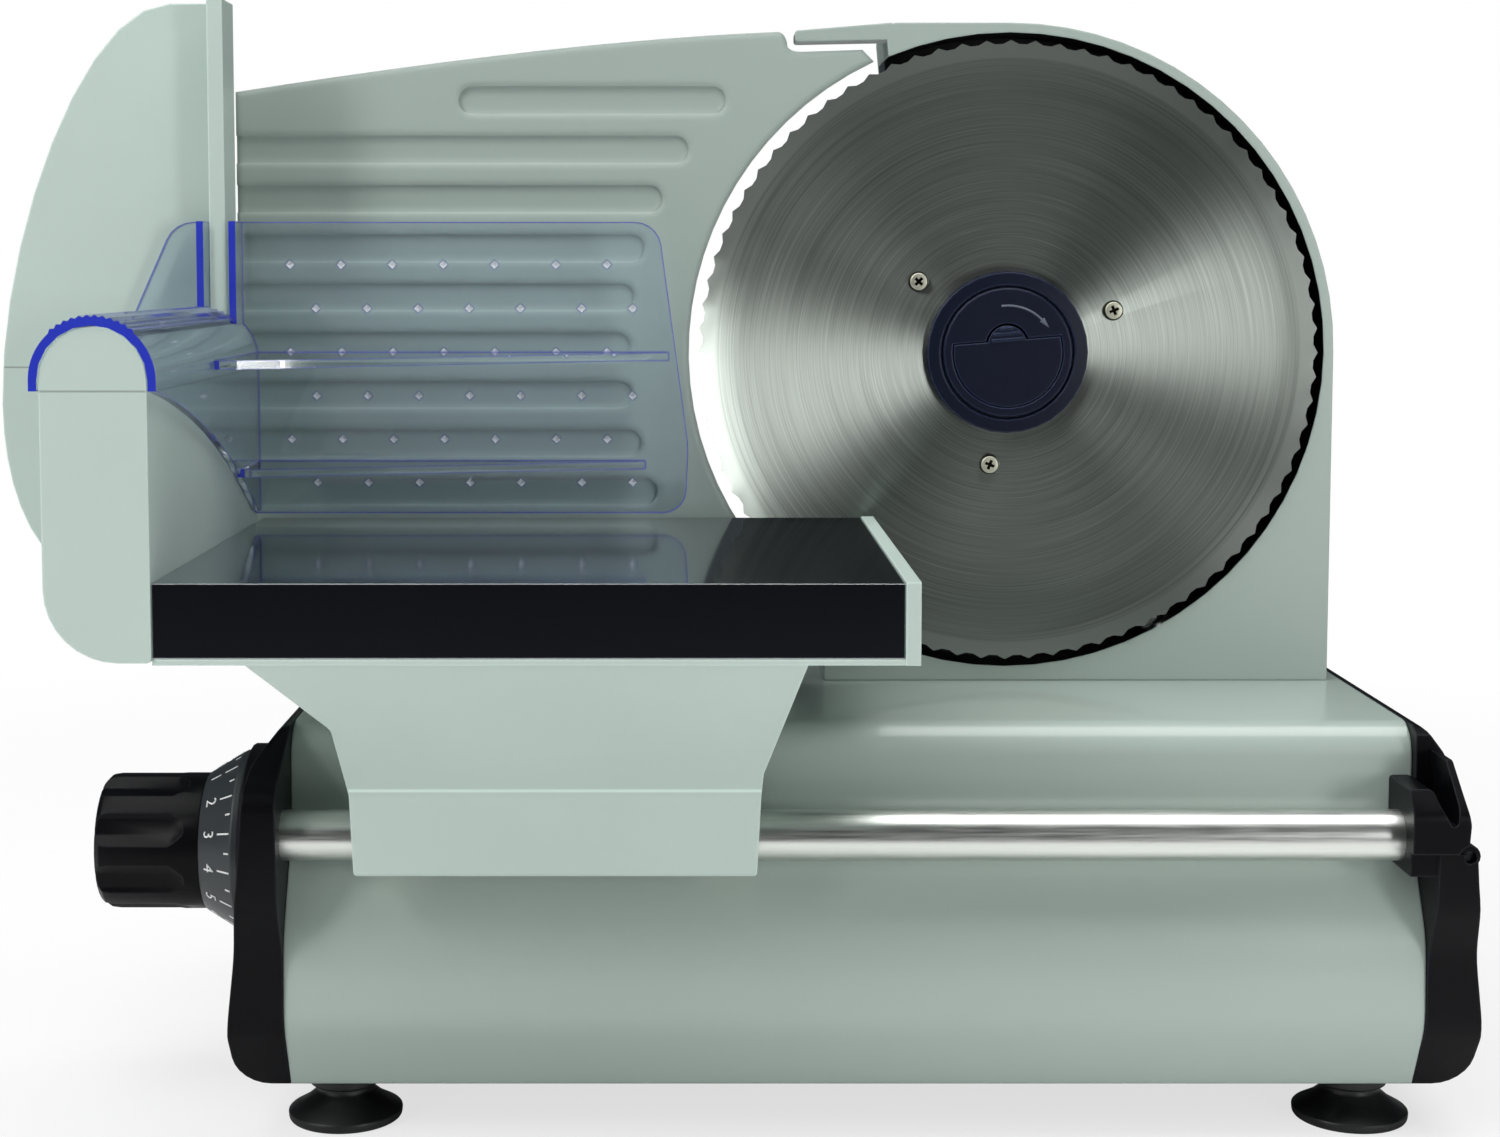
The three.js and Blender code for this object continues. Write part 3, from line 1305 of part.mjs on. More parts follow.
for (let row = 0; row < SPIKE_ROWS; row++) {
  for (let i = 0; i < SPIKES_IN_ROW; i++) {
    const stagger = row % 2 ? SPIKE_PITCH_X / 2 : 0;
    const gap = i > 4 ? 3 : 0;
    const x = PUSHER_RIGHT - 118.5 + i * SPIKE_PITCH_X + stagger + gap;
    const z = PUSHER_TOP - 12.6 - row * SPIKE_PITCH_Z;
    const cone = [
      [0, PUSHER_PLATE + SPIKE_HEIGHT],
      [1.5, PUSHER_PLATE - SEAT],
      [0, PUSHER_PLATE - SEAT],
    ];
    spikes.push(turnedY(cone, x, z, 4));
  }
}
part(
  pusher,
  "food_pusher",
  cut(
    joined(
      cut(joined(alongY(pusherFace, plateSpan, 5), ...slotLips), alongY(railRoom, throughPlate, 10)),
      alongY(arch, archSpan, 5),
      alongX(web, [webLeft, webRight], 12),
      gusset(64, PUSHER_RIGHT - 6, railZ - 0.2),
      gusset(30, PUSHER_RIGHT - 13, PUSHER_BOTTOM + 13.4),
      ...spikes,
    ),
    ribSlot,
  ),
  CLEAR_PLASTIC(),
);

// Thickness plate: the fence in front of the blade, set back by the slice thickness
const plate = movingGroup(machine, 0, 0, 0);
const plateArc = BLADE_RADIUS + PLATE_GAP;
const tipAngle = Math.PI - Math.asin(0.906);
const footX = UPRIGHT_LEFT - 6 - PLATE_GAP;
const footAngle = Math.PI + Math.acos(-footX / plateArc);
const fence = new THREE.Shape();
fence.moveTo(PLATE_LEFT, PLATE_BOTTOM);
fence.lineTo(PLATE_LEFT, PLATE_TOP_LEFT);
fence.quadraticCurveTo(PLATE_BEND, PLATE_TOP_RIGHT - 2.4, FINGER_REACH - 5, PLATE_TOP_RIGHT);
fence.quadraticCurveTo(FINGER_REACH - 2.6, PLATE_TOP_RIGHT - 0.6, FINGER_REACH - 2.2, fingerZ - 1.6);
fence.quadraticCurveTo(FINGER_REACH - 1, fingerZ - PLATE_GAP, FINGER_REACH + 2, fingerZ - PLATE_GAP);
fence.lineTo(neckLeft - 7, fingerZ - PLATE_GAP + 0.6);
fence.lineTo(plateArc * Math.cos(tipAngle), BLADE_Z + plateArc * Math.sin(tipAngle));
fence.absarc(0, BLADE_Z, plateArc, tipAngle, footAngle);
fence.lineTo(footX, PLATE_BOTTOM);
const channels = [];
const firstChannel = PLATE_TOP_LEFT - 17.5;
for (let i = -1; i < CHANNEL_COUNT; i++) {
  const z = firstChannel - i * CHANNEL_PITCH;
  const end = -Math.sqrt(CHANNEL_END_RADIUS ** 2 - (z - BLADE_Z) ** 2);
  const start = i < 0 ? end - 82 : PLATE_LEFT - PAST;
  const half = CHANNEL_WIDTH / 2;
  channels.push(
    alongY(
      outline([
        [start, z - half, i < 0 ? half - 0.01 : 0],
        [end, z - half, half - 0.01],
        [end, z + half, half - 0.01],
        [start, z + half, i < 0 ? half - 0.01 : 0],
      ]),
      [plateFront - PAST, plateFront + CHANNEL_DEPTH],
    ),
  );
}
part(plate, "thickness_plate", cut(alongY(fence, [plateFront, plateBack], 12), ...channels), GREY_PAINT());

// Plate slide: the arm goes down through the base to a block on two guide rods
const sliderFront = armBack + SEAT;
const guideRods = [ARM_LEFT + 8, armRight - 8];
const followerY = DIAL_Y + CAM_FIRST_RADIUS + PLATE_SETTING;
const camRight = ARM_LEFT - 26;
const camLeft = camRight - CAM_SHEET;
const leverLeft = camRight + 6;
const sliderZ = [GUIDE_ROD_Z - SLIDER_HEIGHT / 2, GUIDE_ROD_Z + SLIDER_HEIGHT / 2];
const rodSpan = [sliderFront - 40, sliderFront + SLIDER_DEPTH + 26];
const rodHoles = guideRods.map((x) =>
  barY(GUIDE_ROD_RADIUS + RUN / 2, [rodSpan[0] - PAST, rodSpan[1] + PAST], x, GUIDE_ROD_Z, 8),
);
const followerBore = barX(FOLLOWER_RADIUS + SEAT, [leverLeft - PAST, leverLeft + 6], followerY, DIAL_Z, 6);
part(
  plate,
  "plate_arm",
  cut(
    joined(
      box([ARM_LEFT, armRight], [armFront, armBack], [sliderZ[0], ARM_TOP]),
      box([leverLeft, ARM_LEFT + RIB], [followerY - 5, armBack], [DIAL_Z - 6, DIAL_Z + 6]),
    ),
    ...rodHoles,
    followerBore,
  ),
  STEEL(),
);
part(
  plate,
  "slide_block",
  cut(box([ARM_LEFT, armRight], [sliderFront, sliderFront + SLIDER_DEPTH], sliderZ), ...rodHoles),
  NYLON(),
);
const CAM_GROOVE = 4.6;
part(
  plate,
  "follower_pin",
  barX(FOLLOWER_RADIUS, [camRight - CAM_GROOVE + RUN, leverLeft + 6 - SEAT], followerY, DIAL_Z, 6),
  STEEL(),
);
guideRods.forEach((x, i) => {
  part(machine, `guide_rod_${i + 1}`, barY(GUIDE_ROD_RADIUS, rodSpan, x, GUIDE_ROD_Z, 8), STEEL());
});
const HOLDER = 8;
for (const [name, y] of [
  ["rod_holder_front", rodSpan[0]],
  ["rod_holder_rear", rodSpan[1] - HOLDER],
]) {
  const holes = guideRods.map((x) =>
    barY(GUIDE_ROD_RADIUS + SEAT, [y - PAST, y + HOLDER + PAST], x, GUIDE_ROD_Z, 8),
  );
  part(
    machine,
    name,
    cut(box([ARM_LEFT, armRight], [y, y + HOLDER], [sliderZ[0], underTop]), ...holes),
    GREY_PLASTIC(),
  );
}

// Thickness dial: fluted grip, numbered cone, shaft and a scroll cam whose spiral groove drives the plate
const dial = movingGroup(machine, 0, DIAL_Y, DIAL_Z);
const shaftOuter = gripInner - 16;
const flutes = [];
for (let i = 0; i < FLUTES; i++) {
  const [y, z] = polar(GRIP_RADIUS + FLUTE_RADIUS - FLUTE_DEPTH, ((i + 0.5) * 2 * Math.PI) / FLUTES);
  const scoop = [
    [0, GRIP_END - PAST],
    [FLUTE_RADIUS, GRIP_END - PAST],
    [FLUTE_RADIUS, gripInner - 9],
    [FLUTE_RADIUS * 0.8, gripInner - 5],
    [0, gripInner - 2.5],
  ];
  flutes.push(turnedX(scoop, y, z, 12));
}
part(
  dial,
  "thickness_knob",
  cut(
    turnedX(
      [
        [0, GRIP_END],
        [GRIP_RADIUS - 2, GRIP_END],
        [GRIP_RADIUS - 0.4, GRIP_END + 1.6],
        [GRIP_RADIUS, GRIP_END + 4],
        [GRIP_RADIUS, gripInner - SEAT],
        [0, gripInner - SEAT],
      ],
      0,
      0,
      32,
    ),
    ...flutes,
    barX(DIAL_SHAFT_RADIUS + SEAT, [shaftOuter - SEAT, gripInner + PAST], 0, 0, 8),
  ),
  BLACK_PLASTIC(),
);
part(
  dial,
  "dial_ring",
  turnedX(
    [
      [DIAL_SHAFT_RADIUS + SEAT, gripInner],
      [GRIP_RADIUS + 0.4, gripInner],
      [DIAL_RADIUS, dialInner - 2],
      [DIAL_RADIUS, dialInner],
      [DIAL_SHAFT_RADIUS + SEAT, dialInner],
      [DIAL_SHAFT_RADIUS + SEAT, gripInner],
    ],
    0,
    0,
    32,
  ),
  finish(0x5d6467, 0.5, 0.2),
);
part(dial, "dial_shaft", barX(DIAL_SHAFT_RADIUS, [shaftOuter, camRight], 0, 0, 8), STEEL());
const CAM_STEPS = 28;
const grooveRings = [];
const turnFrom = -PLATE_SETTING * DEGREES_PER_MM;
const turnTo = settingsLeft * DEGREES_PER_MM;
const GROOVE_RUNOUT = 18;
for (let i = 0; i <= CAM_STEPS; i++) {
  const turn = turnFrom - GROOVE_RUNOUT + (i * (turnTo - turnFrom + 2 * GROOVE_RUNOUT)) / CAM_STEPS;
  const radius = CAM_FIRST_RADIUS + PLATE_SETTING + turn / DEGREES_PER_MM;
  const half = FOLLOWER_RADIUS + RUN;
  const at = (x, r) => new THREE.Vector3(x, r * Math.cos(degrees(turn)), r * Math.sin(degrees(turn)));
  const [floor, mouth] = [camRight - CAM_GROOVE, camRight + PAST];
  const inner = [at(floor, radius - half), at(mouth, radius - half)];
  const outer = [at(mouth, radius + half), at(floor, radius + half)];
  grooveRings.push([...inner, ...outer]);
}
part(
  dial,
  "scroll_cam",
  cut(
    barX(CAM_RADIUS, [camLeft, camRight], 0, 0, 16),
    lofted(grooveRings),
    barX(DIAL_SHAFT_RADIUS + SEAT, [camLeft - PAST, camRight + PAST], 0, 0, 8),
  ),
  NYLON(),
);

// Rocker switch and cord gland in the back wall
const bezelBack = BASE_BACK + 1.8;
const rimWidth = SWITCH_WIDTH / 2 + 2.5;
const rimHeight = SWITCH_HEIGHT / 2 + 2.5;
const rockerRoomX = SWITCH_WIDTH / 2 - 3;
const rockerRoomZ = SWITCH_HEIGHT / 2 - 3;
const rockerDepth = 9;
const switchBody = [SWITCH_WIDTH / 2 - SEAT, SWITCH_HEIGHT / 2 - SEAT];
part(
  machine,
  "switch_body",
  cut(
    joined(
      box(
        [SWITCH_X - rimWidth, SWITCH_X + rimWidth],
        [BASE_BACK + SEAT, bezelBack],
        [SWITCH_Z - rimHeight, SWITCH_Z + rimHeight],
      ),
      box(
        [SWITCH_X - switchBody[0], SWITCH_X + switchBody[0]],
        [switchInside - 18, BASE_BACK + 2 * SEAT],
        [SWITCH_Z - switchBody[1], SWITCH_Z + switchBody[1]],
      ),
    ),
    box(
      [SWITCH_X - rockerRoomX, SWITCH_X + rockerRoomX],
      [bezelBack - rockerDepth, bezelBack + PAST],
      [SWITCH_Z - rockerRoomZ, SWITCH_Z + rockerRoomZ],
    ),
  ),
  BLACK_PLASTIC(),
);
const ROCKER_TILT = 8;
const rocker = movingGroup(machine, SWITCH_X, bezelBack - 3, SWITCH_Z);
rocker.rotation.x = degrees(ROCKER_TILT);
const rockerHalf = rockerRoomZ - 0.7;
part(
  rocker,
  "switch_rocker",
  alongX(
    outline([
      [-3, -2],
      [2, -rockerHalf],
      [5, -rockerHalf, 0.8],
      [4.2, 0],
      [5, rockerHalf, 0.8],
      [2, rockerHalf],
      [-3, 2],
    ]),
    [-rockerRoomX + RUN, rockerRoomX - RUN],
  ),
  BLACK_PLASTIC(),
);
part(
  machine,
  "cord_gland",
  turnedY(
    [
      [GLAND_RADIUS - 3, switchInside - 5],
      [GLAND_RADIUS - SEAT, switchInside - 5],
      [GLAND_RADIUS - SEAT, BASE_BACK + SEAT],
      [GLAND_RADIUS + 3, BASE_BACK + SEAT],
      [GLAND_RADIUS + 2, BASE_BACK + 4],
      [GLAND_RADIUS - 3, BASE_BACK + 4],
      [GLAND_RADIUS - 3, switchInside - 5],
    ],
    GLAND_X,
    GLAND_Z,
    12,
  ),
  BLACK_PLASTIC(),
);

// The finished machine stands on the table with the middle of its box over the origin
const bounds = new THREE.Box3().setFromObject(machine, true);
const centre = bounds.getCenter(new THREE.Vector3());
machine.position.set(-centre.x, -centre.y, -bounds.min.z);

export default slicer;
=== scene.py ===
"""Finishes, small fittings and studio for an electric food slicer."""
import json
import math
import bpy
from mathutils import Matrix, Vector


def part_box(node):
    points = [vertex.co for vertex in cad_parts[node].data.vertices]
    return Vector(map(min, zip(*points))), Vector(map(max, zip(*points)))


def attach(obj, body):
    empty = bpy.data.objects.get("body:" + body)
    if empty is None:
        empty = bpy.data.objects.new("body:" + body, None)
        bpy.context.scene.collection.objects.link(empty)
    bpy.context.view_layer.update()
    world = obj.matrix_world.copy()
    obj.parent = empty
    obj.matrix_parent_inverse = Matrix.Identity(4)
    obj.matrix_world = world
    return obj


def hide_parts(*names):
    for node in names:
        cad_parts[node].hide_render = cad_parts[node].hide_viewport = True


bl_info = {
    "name": "Food Slicer Finishes",
    "version": (1, 0, 0),
    "blender": (4, 5, 0),
    "location": "3D View > Sidebar > Slicer",
    "description": "Finishes, small fittings and studio for an electric food slicer",
    "category": "Object",
}

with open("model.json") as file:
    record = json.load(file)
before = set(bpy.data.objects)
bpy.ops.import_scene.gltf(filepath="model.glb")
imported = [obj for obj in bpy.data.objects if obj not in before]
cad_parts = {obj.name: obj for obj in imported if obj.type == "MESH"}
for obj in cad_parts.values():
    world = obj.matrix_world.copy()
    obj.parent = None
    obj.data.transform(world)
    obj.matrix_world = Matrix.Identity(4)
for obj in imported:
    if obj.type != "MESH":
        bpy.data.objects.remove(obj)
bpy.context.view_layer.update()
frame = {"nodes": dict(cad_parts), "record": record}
NODES = frame["nodes"]


def middle(node):
    low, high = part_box(node)
    return (low + high) / 2


def shade(red, green, blue):
    """An 8-bit screen colour as the linear colour that a shader takes."""
    def linear(value):
        value = value / 255
        return value / 12.92 if value <= 0.04045 else ((value + 0.055) / 1.055) ** 2.4
    return (linear(red), linear(green), linear(blue))


# Places and sizes on the CAD pieces, in metres

BLADE_CENTRE = middle("blade_disc")
BLADE_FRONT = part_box("blade_disc")[0].y
BLADE_RADIUS = (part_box("blade_disc")[1].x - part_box("blade_disc")[0].x) / 2
GROUND_EDGE = (0.0892, 0.0902)
RECESS_GAP = 0.0027
# How far behind the housing's front the painted shade of the room round the blade begins
RECESS_SHADE_DEPTH = 0.0006
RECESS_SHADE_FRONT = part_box("blade_housing")[0].y - BLADE_CENTRE.y + RECESS_SHADE_DEPTH
LOCK_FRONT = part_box("lock_knob")[0].y
SCREW_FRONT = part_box("blade_screw_1")[0].y
SEAM_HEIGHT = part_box("tray_cover")[1].z + 0.0467
SEAM_WIDTH = 0.0005
FOLD_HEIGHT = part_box("carriage_bracket")[0].z + 0.0247
FOLD_WIDTH = 0.0009
PUSHER_SPIKES = 0.0018
PUSHER_SHEET = 0.007
PUSHER_ARCH = 0.038

# The range that most of a noise lies in, and the range of facing over which an edge fades in

NOISE_RANGE = (0.3, 0.7)
EDGE_RANGE = (0.99, 0.8)

# Soft shading: the distance that joins points, and the angle in degrees that stays sharp

WELD_DISTANCE = 0.00001
SPLIT_ANGLE = 28

# Screws: name, number, body, slot, side they face, and degrees from one cross to the next

SCREWS = (
    ("blade_screw", 3, "blade", "bronze", -1, 23),
    ("cover_screw", 4, "base", "steel", 1, 31),
)

# Shares of the screw head's radius: its height, the step to its shank, its bevel and its flat top

SCREW_HEAD = 0.5
SCREW_STEP = 0.44
SCREW_BEVEL = 0.08
SCREW_TOP = 0.78

# The depths below the top of a screw between which a painted shade darkens its finish

SCREW_SHADE = (0.0001, 0.0004)

# The cutter of the cross: shares of the head's radius and height, and its taper

CUTTER_LENGTH = 1.2
CUTTER_HEIGHT = 1.5
CUTTER_TAPER = 0.6

# Suction feet: rings from the underside up, each a share of the radius and a height

FEET = ("foot_front_left", "foot_rear_left", "foot_front_right", "foot_rear_right")
CUP_RINGS = (
    (0.755, 0.0014),
    (0.816, 0.0),
    (0.951, 0.0),
    (0.988, 0.0006),
    (1.0, 0.0026),
    (0.72, 0.0052),
    (0.5, 0.0082),
    (0.48, 0.0096),
    (0.62, 0.0104),
    (0.62, 0.0144),
    (0.2, 0.0144),
    (0.2, 0.0199),
)
CUP_BEVEL = 0.0004

# Thickness dial: the ends of its cone, its settings, the degrees between them, and its marks

DIAL_CENTRE = middle("dial_ring")
DIAL_CONE = (0.0206, 0.027)
DIAL_RIM = 0.002
DIAL_LAST = 13
DIAL_FRONT = 3.7
DIAL_STEP = 25
DIGIT_FOOT = 0.0022
DIGIT_SHARE = 0.7
TICK_TOP = 0.0118
HALF_TICK = 0.4

# Turning arrow: its ends in degrees, and its head's sizes in line widths

ARROW_SPAN = (100, 42)
ARROW_HEAD_RADIUS = 2.4
ARROW_HEAD_LENGTH = 5
ARROW_HEAD_START = 1.5
ARROW_FLATNESS = 0.3

# Lamps: name, place, aim, size and watts

LAMPS = (
    ("left_box", (-1.2, -0.8, 1.4), (0, 0, 0.2), (0.6, 0.6), 9),
    ("right_box", (0.9, -1.15, 0.29), (0, 0, 0.2), (0.25, 0.4), 5),
    ("low_box", (-1.15, -0.95, 0.7), (0, 0, 0.2), (0.3, 0.9), 6),
    ("top_box", (0.0, -0.1, 1.3), (0, 0, 0.1), (1.6, 0.9), 18),
)

# Dark cards: name, place, size and tilt in degrees

CARDS = (
    ("dark_front", (0, -1.9, 1.4), (1.5, 3.0), 90),
    ("dark_foreground", (0, -1.26, 0.004), (2.0, 1.88), 0),
)
CARD_TINT = (0.01, 0.01, 0.012)

# Floor and world: the floor turns whiter over a distance, and reflections see a dim and cool world

FLOOR_SIZE = 8
FLOOR_TINT = (0.9, 0.9, 0.9)
FLOOR_FADE = (0.25, 0.8)
FLOOR_WHITE = (0.7, 1.0)
WHITE = (1.0, 1.0, 1.0)
SOFT_LEVEL = 0.2
GLOSS_LEVEL = 0.06
GLOSS_TINT = (0.78, 0.93, 1.0)

# Camera: the frame, focal length and optical centre in pixels, and the offset from the blade's front

FRAME_WIDTH = 1500
FRAME_HEIGHT = 1137
FOCAL_PIXELS = 2346
CENTRE_PIXEL = (691, 449.8)
SENSOR_WIDTH = 36
CAMERA_OFFSET = (-0.0973, -0.7202, 0.0255)
CAMERA_PLACE = Vector((BLADE_CENTRE.x, BLADE_FRONT, BLADE_CENTRE.z)) + Vector(CAMERA_OFFSET)
CAMERA_PITCH = 4.4
CAMERA_LENS = SENSOR_WIDTH * FOCAL_PIXELS / FRAME_WIDTH
CAMERA_SHIFT = (
    (FRAME_WIDTH / 2 - CENTRE_PIXEL[0]) / FRAME_WIDTH,
    (CENTRE_PIXEL[1] - FRAME_HEIGHT / 2) / FRAME_WIDTH,
)


# Sizes and colours that a user would change

def length(name, default, description):
    return bpy.props.FloatProperty(
        name=name, default=default, description=description, unit="LENGTH", precision=5
    )


def colour(name, default, description):
    return bpy.props.FloatVectorProperty(
        name=name, default=default, description=description, subtype="COLOR", size=3, min=0, max=1
    )


class SlicerSizes(bpy.types.PropertyGroup):
    """Sizes of the small fittings."""

    digit_height: length("Digit height", 0.0037, "Height of the numbers on the thickness dial")
    tick_length: length("Tick length", 0.0045, "Length of the long marks on the thickness dial")
    tick_width: length("Tick width", 0.0005, "Width of the marks on the thickness dial")
    mark_height: length("Mark height", 0.00008, "How far the marks stand off the dial")
    screw_slot: length("Screw slot", 0.0012, "Width of the cross slot in the screw heads")
    arrow_radius: length("Arrow radius", 0.0144, "Radius of the turning arrow on the blade lock")
    arrow_width: length("Arrow width", 0.0007, "Line width of the turning arrow on the blade lock")


class SlicerColours(bpy.types.PropertyGroup):
    """Colours of the finishes."""

    enamel: colour("Enamel", shade(157, 171, 164), "Base, blade housing and thickness plate")
    moulding: colour("Moulding", shade(178, 194, 187), "Pale grey moulding of the carriage")
    black: colour("Black moulding", shade(9, 9, 12), "End caps, catch, knob and switch")
    lock: colour("Lock", shade(14, 20, 37), "Blade lock and its collar")
    dial: colour("Dial", shade(46, 51, 54), "Numbered ring of the thickness dial")
    rubber: colour("Rubber", shade(9, 10, 10), "Suction feet")
    steel: colour("Blade steel", shade(194, 202, 194), "Brushed steel of the blade")
    tray: colour("Tray steel", shade(134, 140, 150), "Polished steel sheet of the tray")
    chrome: colour("Rod steel", shade(226, 229, 224), "Polished slide rod")
    clear: colour("Clear plastic", shade(224, 232, 240), "Body of the clear food pusher")
    # Painted light: the blue that the pusher's edges gather
    clear_edge: colour("Clear edge", shade(10, 36, 178), "Edges of the clear food pusher")
    marks: colour("Marks", shade(240, 242, 242), "Numbers and marks on the dial")


def scaled(tint, factor):
    return tuple(min(1.0, part * factor) for part in tint)


# Building blocks of the node trees

class Nodes:
    """A node tree with short calls that add and wire its nodes."""

    def __init__(self, tree):
        self.tree = tree

    def add(self, kind, **settings):
        node = self.tree.nodes.new(kind)
        for key, value in settings.items():
            setattr(node, key, value)
        return node

    def wire(self, source, target):
        if isinstance(source, bpy.types.NodeSocket):
            self.tree.links.new(source, target)
        else:
            target.default_value = source

    def math(self, operation, first, second=0.0):
        node = self.add("ShaderNodeMath", operation=operation)
        self.wire(first, node.inputs[0])
        self.wire(second, node.inputs[1])
        return node.outputs[0]

    def ranged(self, value, from_low, from_high, to_low, to_high):
        node = self.add("ShaderNodeMapRange")
        for item, socket in zip((value, from_low, from_high, to_low, to_high), node.inputs):
            self.wire(item, socket)
        return node.outputs[0]

    def mixed(self, factor, low, high):
        node = self.add("ShaderNodeMix", data_type="RGBA")
        self.wire(factor, node.inputs["Factor"])
        for value, socket in ((low, node.inputs[6]), (high, node.inputs[7])):
            self.wire((*value, 1) if isinstance(value, tuple) else value, socket)
        return node.outputs[2]

    def ray(self, kind):
        return self.add("ShaderNodeLightPath").outputs[f"Is {kind} Ray"]

    def seen(self):
        """A mask that is 1 for what the camera sees, straight or through the clear plastic."""
        return self.math("MAXIMUM", self.ray("Camera"), self.ray("Transmission"))

    def blend(self, factor, first, second, output):
        """Sends a mix of two shaders to the tree's output."""
        node = self.add("ShaderNodeMixShader")
        for source, socket in zip((factor, first, second), node.inputs):
            self.wire(source, socket)
        self.wire(node.outputs[0], self.tree.nodes[output].inputs["Surface"])


class Finish(Nodes):
    """A material with a Principled shader, on the object's own coordinates."""

    def __init__(self, name):
        self.material = bpy.data.materials.new(name)
        self.material.use_nodes = True
        super().__init__(self.material.node_tree)
        self.shader = self.tree.nodes["Principled BSDF"]
        self.place = self.add("ShaderNodeTexCoord").outputs["Object"]

    def set(self, **values):
        for key, value in values.items():
            self.shader.inputs[key.replace("_", " ")].default_value = value

    def vector(self, operation, first, second=(0, 0, 0), output=0):
        node = self.add("ShaderNodeVectorMath", operation=operation)
        self.wire(first, node.inputs[0])
        self.wire(second, node.inputs[1])
        return node.outputs[output]

    def split(self, vector):
        node = self.add("ShaderNodeSeparateXYZ")
        self.wire(vector, node.inputs[0])
        return node.outputs

    def join(self, x, y, z):
        node = self.add("ShaderNodeCombineXYZ")
        for value, socket in zip((x, y, z), node.inputs):
            self.wire(value, socket)
        return node.outputs[0]

    def noise(self, scale, detail=2.0, roughness=0.5, vector=None):
        node = self.add("ShaderNodeTexNoise")
        node.inputs["Scale"].default_value = scale
        node.inputs["Detail"].default_value = detail
        node.inputs["Roughness"].default_value = roughness
        self.wire(vector or self.place, node.inputs["Vector"])
        return node.outputs["Fac"]

    def streaks(self, along, across):
        """Noise drawn out along X, from its scales along X and across it."""
        return self.noise(1, vector=self.vector("MULTIPLY", self.place, (along, across, across)))

    def spread(self, noise, low, high):
        """Takes the range that most of a noise lies in to another range."""
        return self.ranged(noise, *NOISE_RANGE, low, high)

    def varied(self, factor, tint, low, high):
        """A tint that runs from one share of itself to another."""
        return self.mixed(factor, scaled(tint, low), scaled(tint, high))

    def spoke(self):
        """The offset from the blade's centre."""
        return self.split(self.vector("SUBTRACT", self.place, tuple(BLADE_CENTRE)))

    def radius(self, x, z):
        squares = [self.math("MULTIPLY", part, part) for part in (x, z)]
        return self.math("SQRT", self.math("ADD", *squares))

    def height_from(self, level):
        """The distance above or below a level."""
        return self.math("ABSOLUTE", self.math("SUBTRACT", self.split(self.place)[2], level))

    def normal(self, kind="Normal"):
        return self.add("ShaderNodeNewGeometry").outputs[kind]

    def faces_front(self, limit, kind="Normal"):
        """A mask that is 1 where the surface looks to the front."""
        return self.math("LESS_THAN", self.split(self.normal(kind))[1], limit)

    def rounded(self, radius):
        """A normal that rounds the sharp edges over a small radius."""
        node = self.add("ShaderNodeBevel", samples=6)
        node.inputs["Radius"].default_value = radius
        return node.outputs[0]

    def edges(self, radius):
        """A mask that is 1 on sharp edges and 0 away from them."""
        facing = self.vector("DOT_PRODUCT", self.rounded(radius), self.normal(), output=1)
        return self.ranged(self.math("ABSOLUTE", facing), *EDGE_RANGE, 0.0, 1.0)

    def relief(self, height, strength, distance, normal=None):
        node = self.add("ShaderNodeBump")
        node.inputs["Strength"].default_value = strength
        node.inputs["Distance"].default_value = distance
        self.wire(height, node.inputs["Height"])
        if normal:
            self.wire(normal, node.inputs["Normal"])
        self.wire(node.outputs[0], self.shader.inputs["Normal"])

    def paint(self, source):
        self.wire(source, self.shader.inputs["Base Color"])

    def roughen(self, source):
        self.wire(source, self.shader.inputs["Roughness"])


# Finishes of the pieces

def enamel_finish(name, tint, rounding=0.0009, recess_shade=None):
    """Sprayed enamel with fine peel and edges painted lighter, for light wear and as a painted
    highlight; painted shade darkens the deep room round the blade.
    """
    made = Finish(name)
    tone = made.varied(made.noise(4, 1), tint, 0.985, 1.015)
    # The sharp edges are painted lighter, for light wear and as a painted highlight
    tone = made.mixed(made.edges(0.0008), tone, scaled(tint, 1.3))
    # Painted shade: the deep room round the blade is painted black, for the shade that falls in it
    if recess_shade:
        x, y, z = made.spoke()
        inside = made.math("LESS_THAN", made.radius(x, z), BLADE_RADIUS + RECESS_GAP)
        shaded_depth = made.math("GREATER_THAN", y, RECESS_SHADE_FRONT)
        tone = made.mixed(made.math("MULTIPLY", inside, shaded_depth), tone, recess_shade)
    made.paint(tone)
    made.roughen(made.spread(made.noise(2400, 1), 0.29, 0.33))
    made.set(Specular_IOR_Level=0.5, Coat_Weight=0.4, Coat_Roughness=0.1)
    made.relief(made.noise(2200, 1), strength=0.012, distance=0.0002, normal=made.rounded(rounding))
    return made.material


def moulding_finish(name, tint, roughness, grain, gloss=0.5, edge_light=1.22, seam=None, fold=None):
    """Moulded plastic with a fine spark-eroded grain and a painted highlight on its edges.

    A seam is a fine dark line at one height, and a fold gets a painted highlight line at one height of
    the front.
    """
    made = Finish(name)
    tone = made.varied(made.noise(22, 3), tint, 0.96, 1.04)
    if seam:
        line = made.math("LESS_THAN", made.height_from(seam), SEAM_WIDTH / 2)
        tone = made.mixed(line, tone, scaled(tint, 0.6))
    if fold:
        # Painted highlight: a lighter line along the fold on the front faces
        line = made.ranged(made.height_from(fold), 0.0, FOLD_WIDTH, 1.0, 0.0)
        fold_highlight = made.math("MULTIPLY", line, made.faces_front(-0.5))
        tone = made.mixed(fold_highlight, tone, scaled(tint, edge_light))
    # Painted highlight: the sharp edges are painted lighter by a share of the tint
    made.paint(made.mixed(made.edges(0.0008), tone, scaled(tint, edge_light)))
    made.roughen(made.spread(made.noise(1500), roughness - 0.04, roughness + 0.04))
    made.set(Specular_IOR_Level=gloss)
    made.relief(made.noise(2600), strength=grain, distance=0.0003, normal=made.rounded(0.0008))
    return made.material


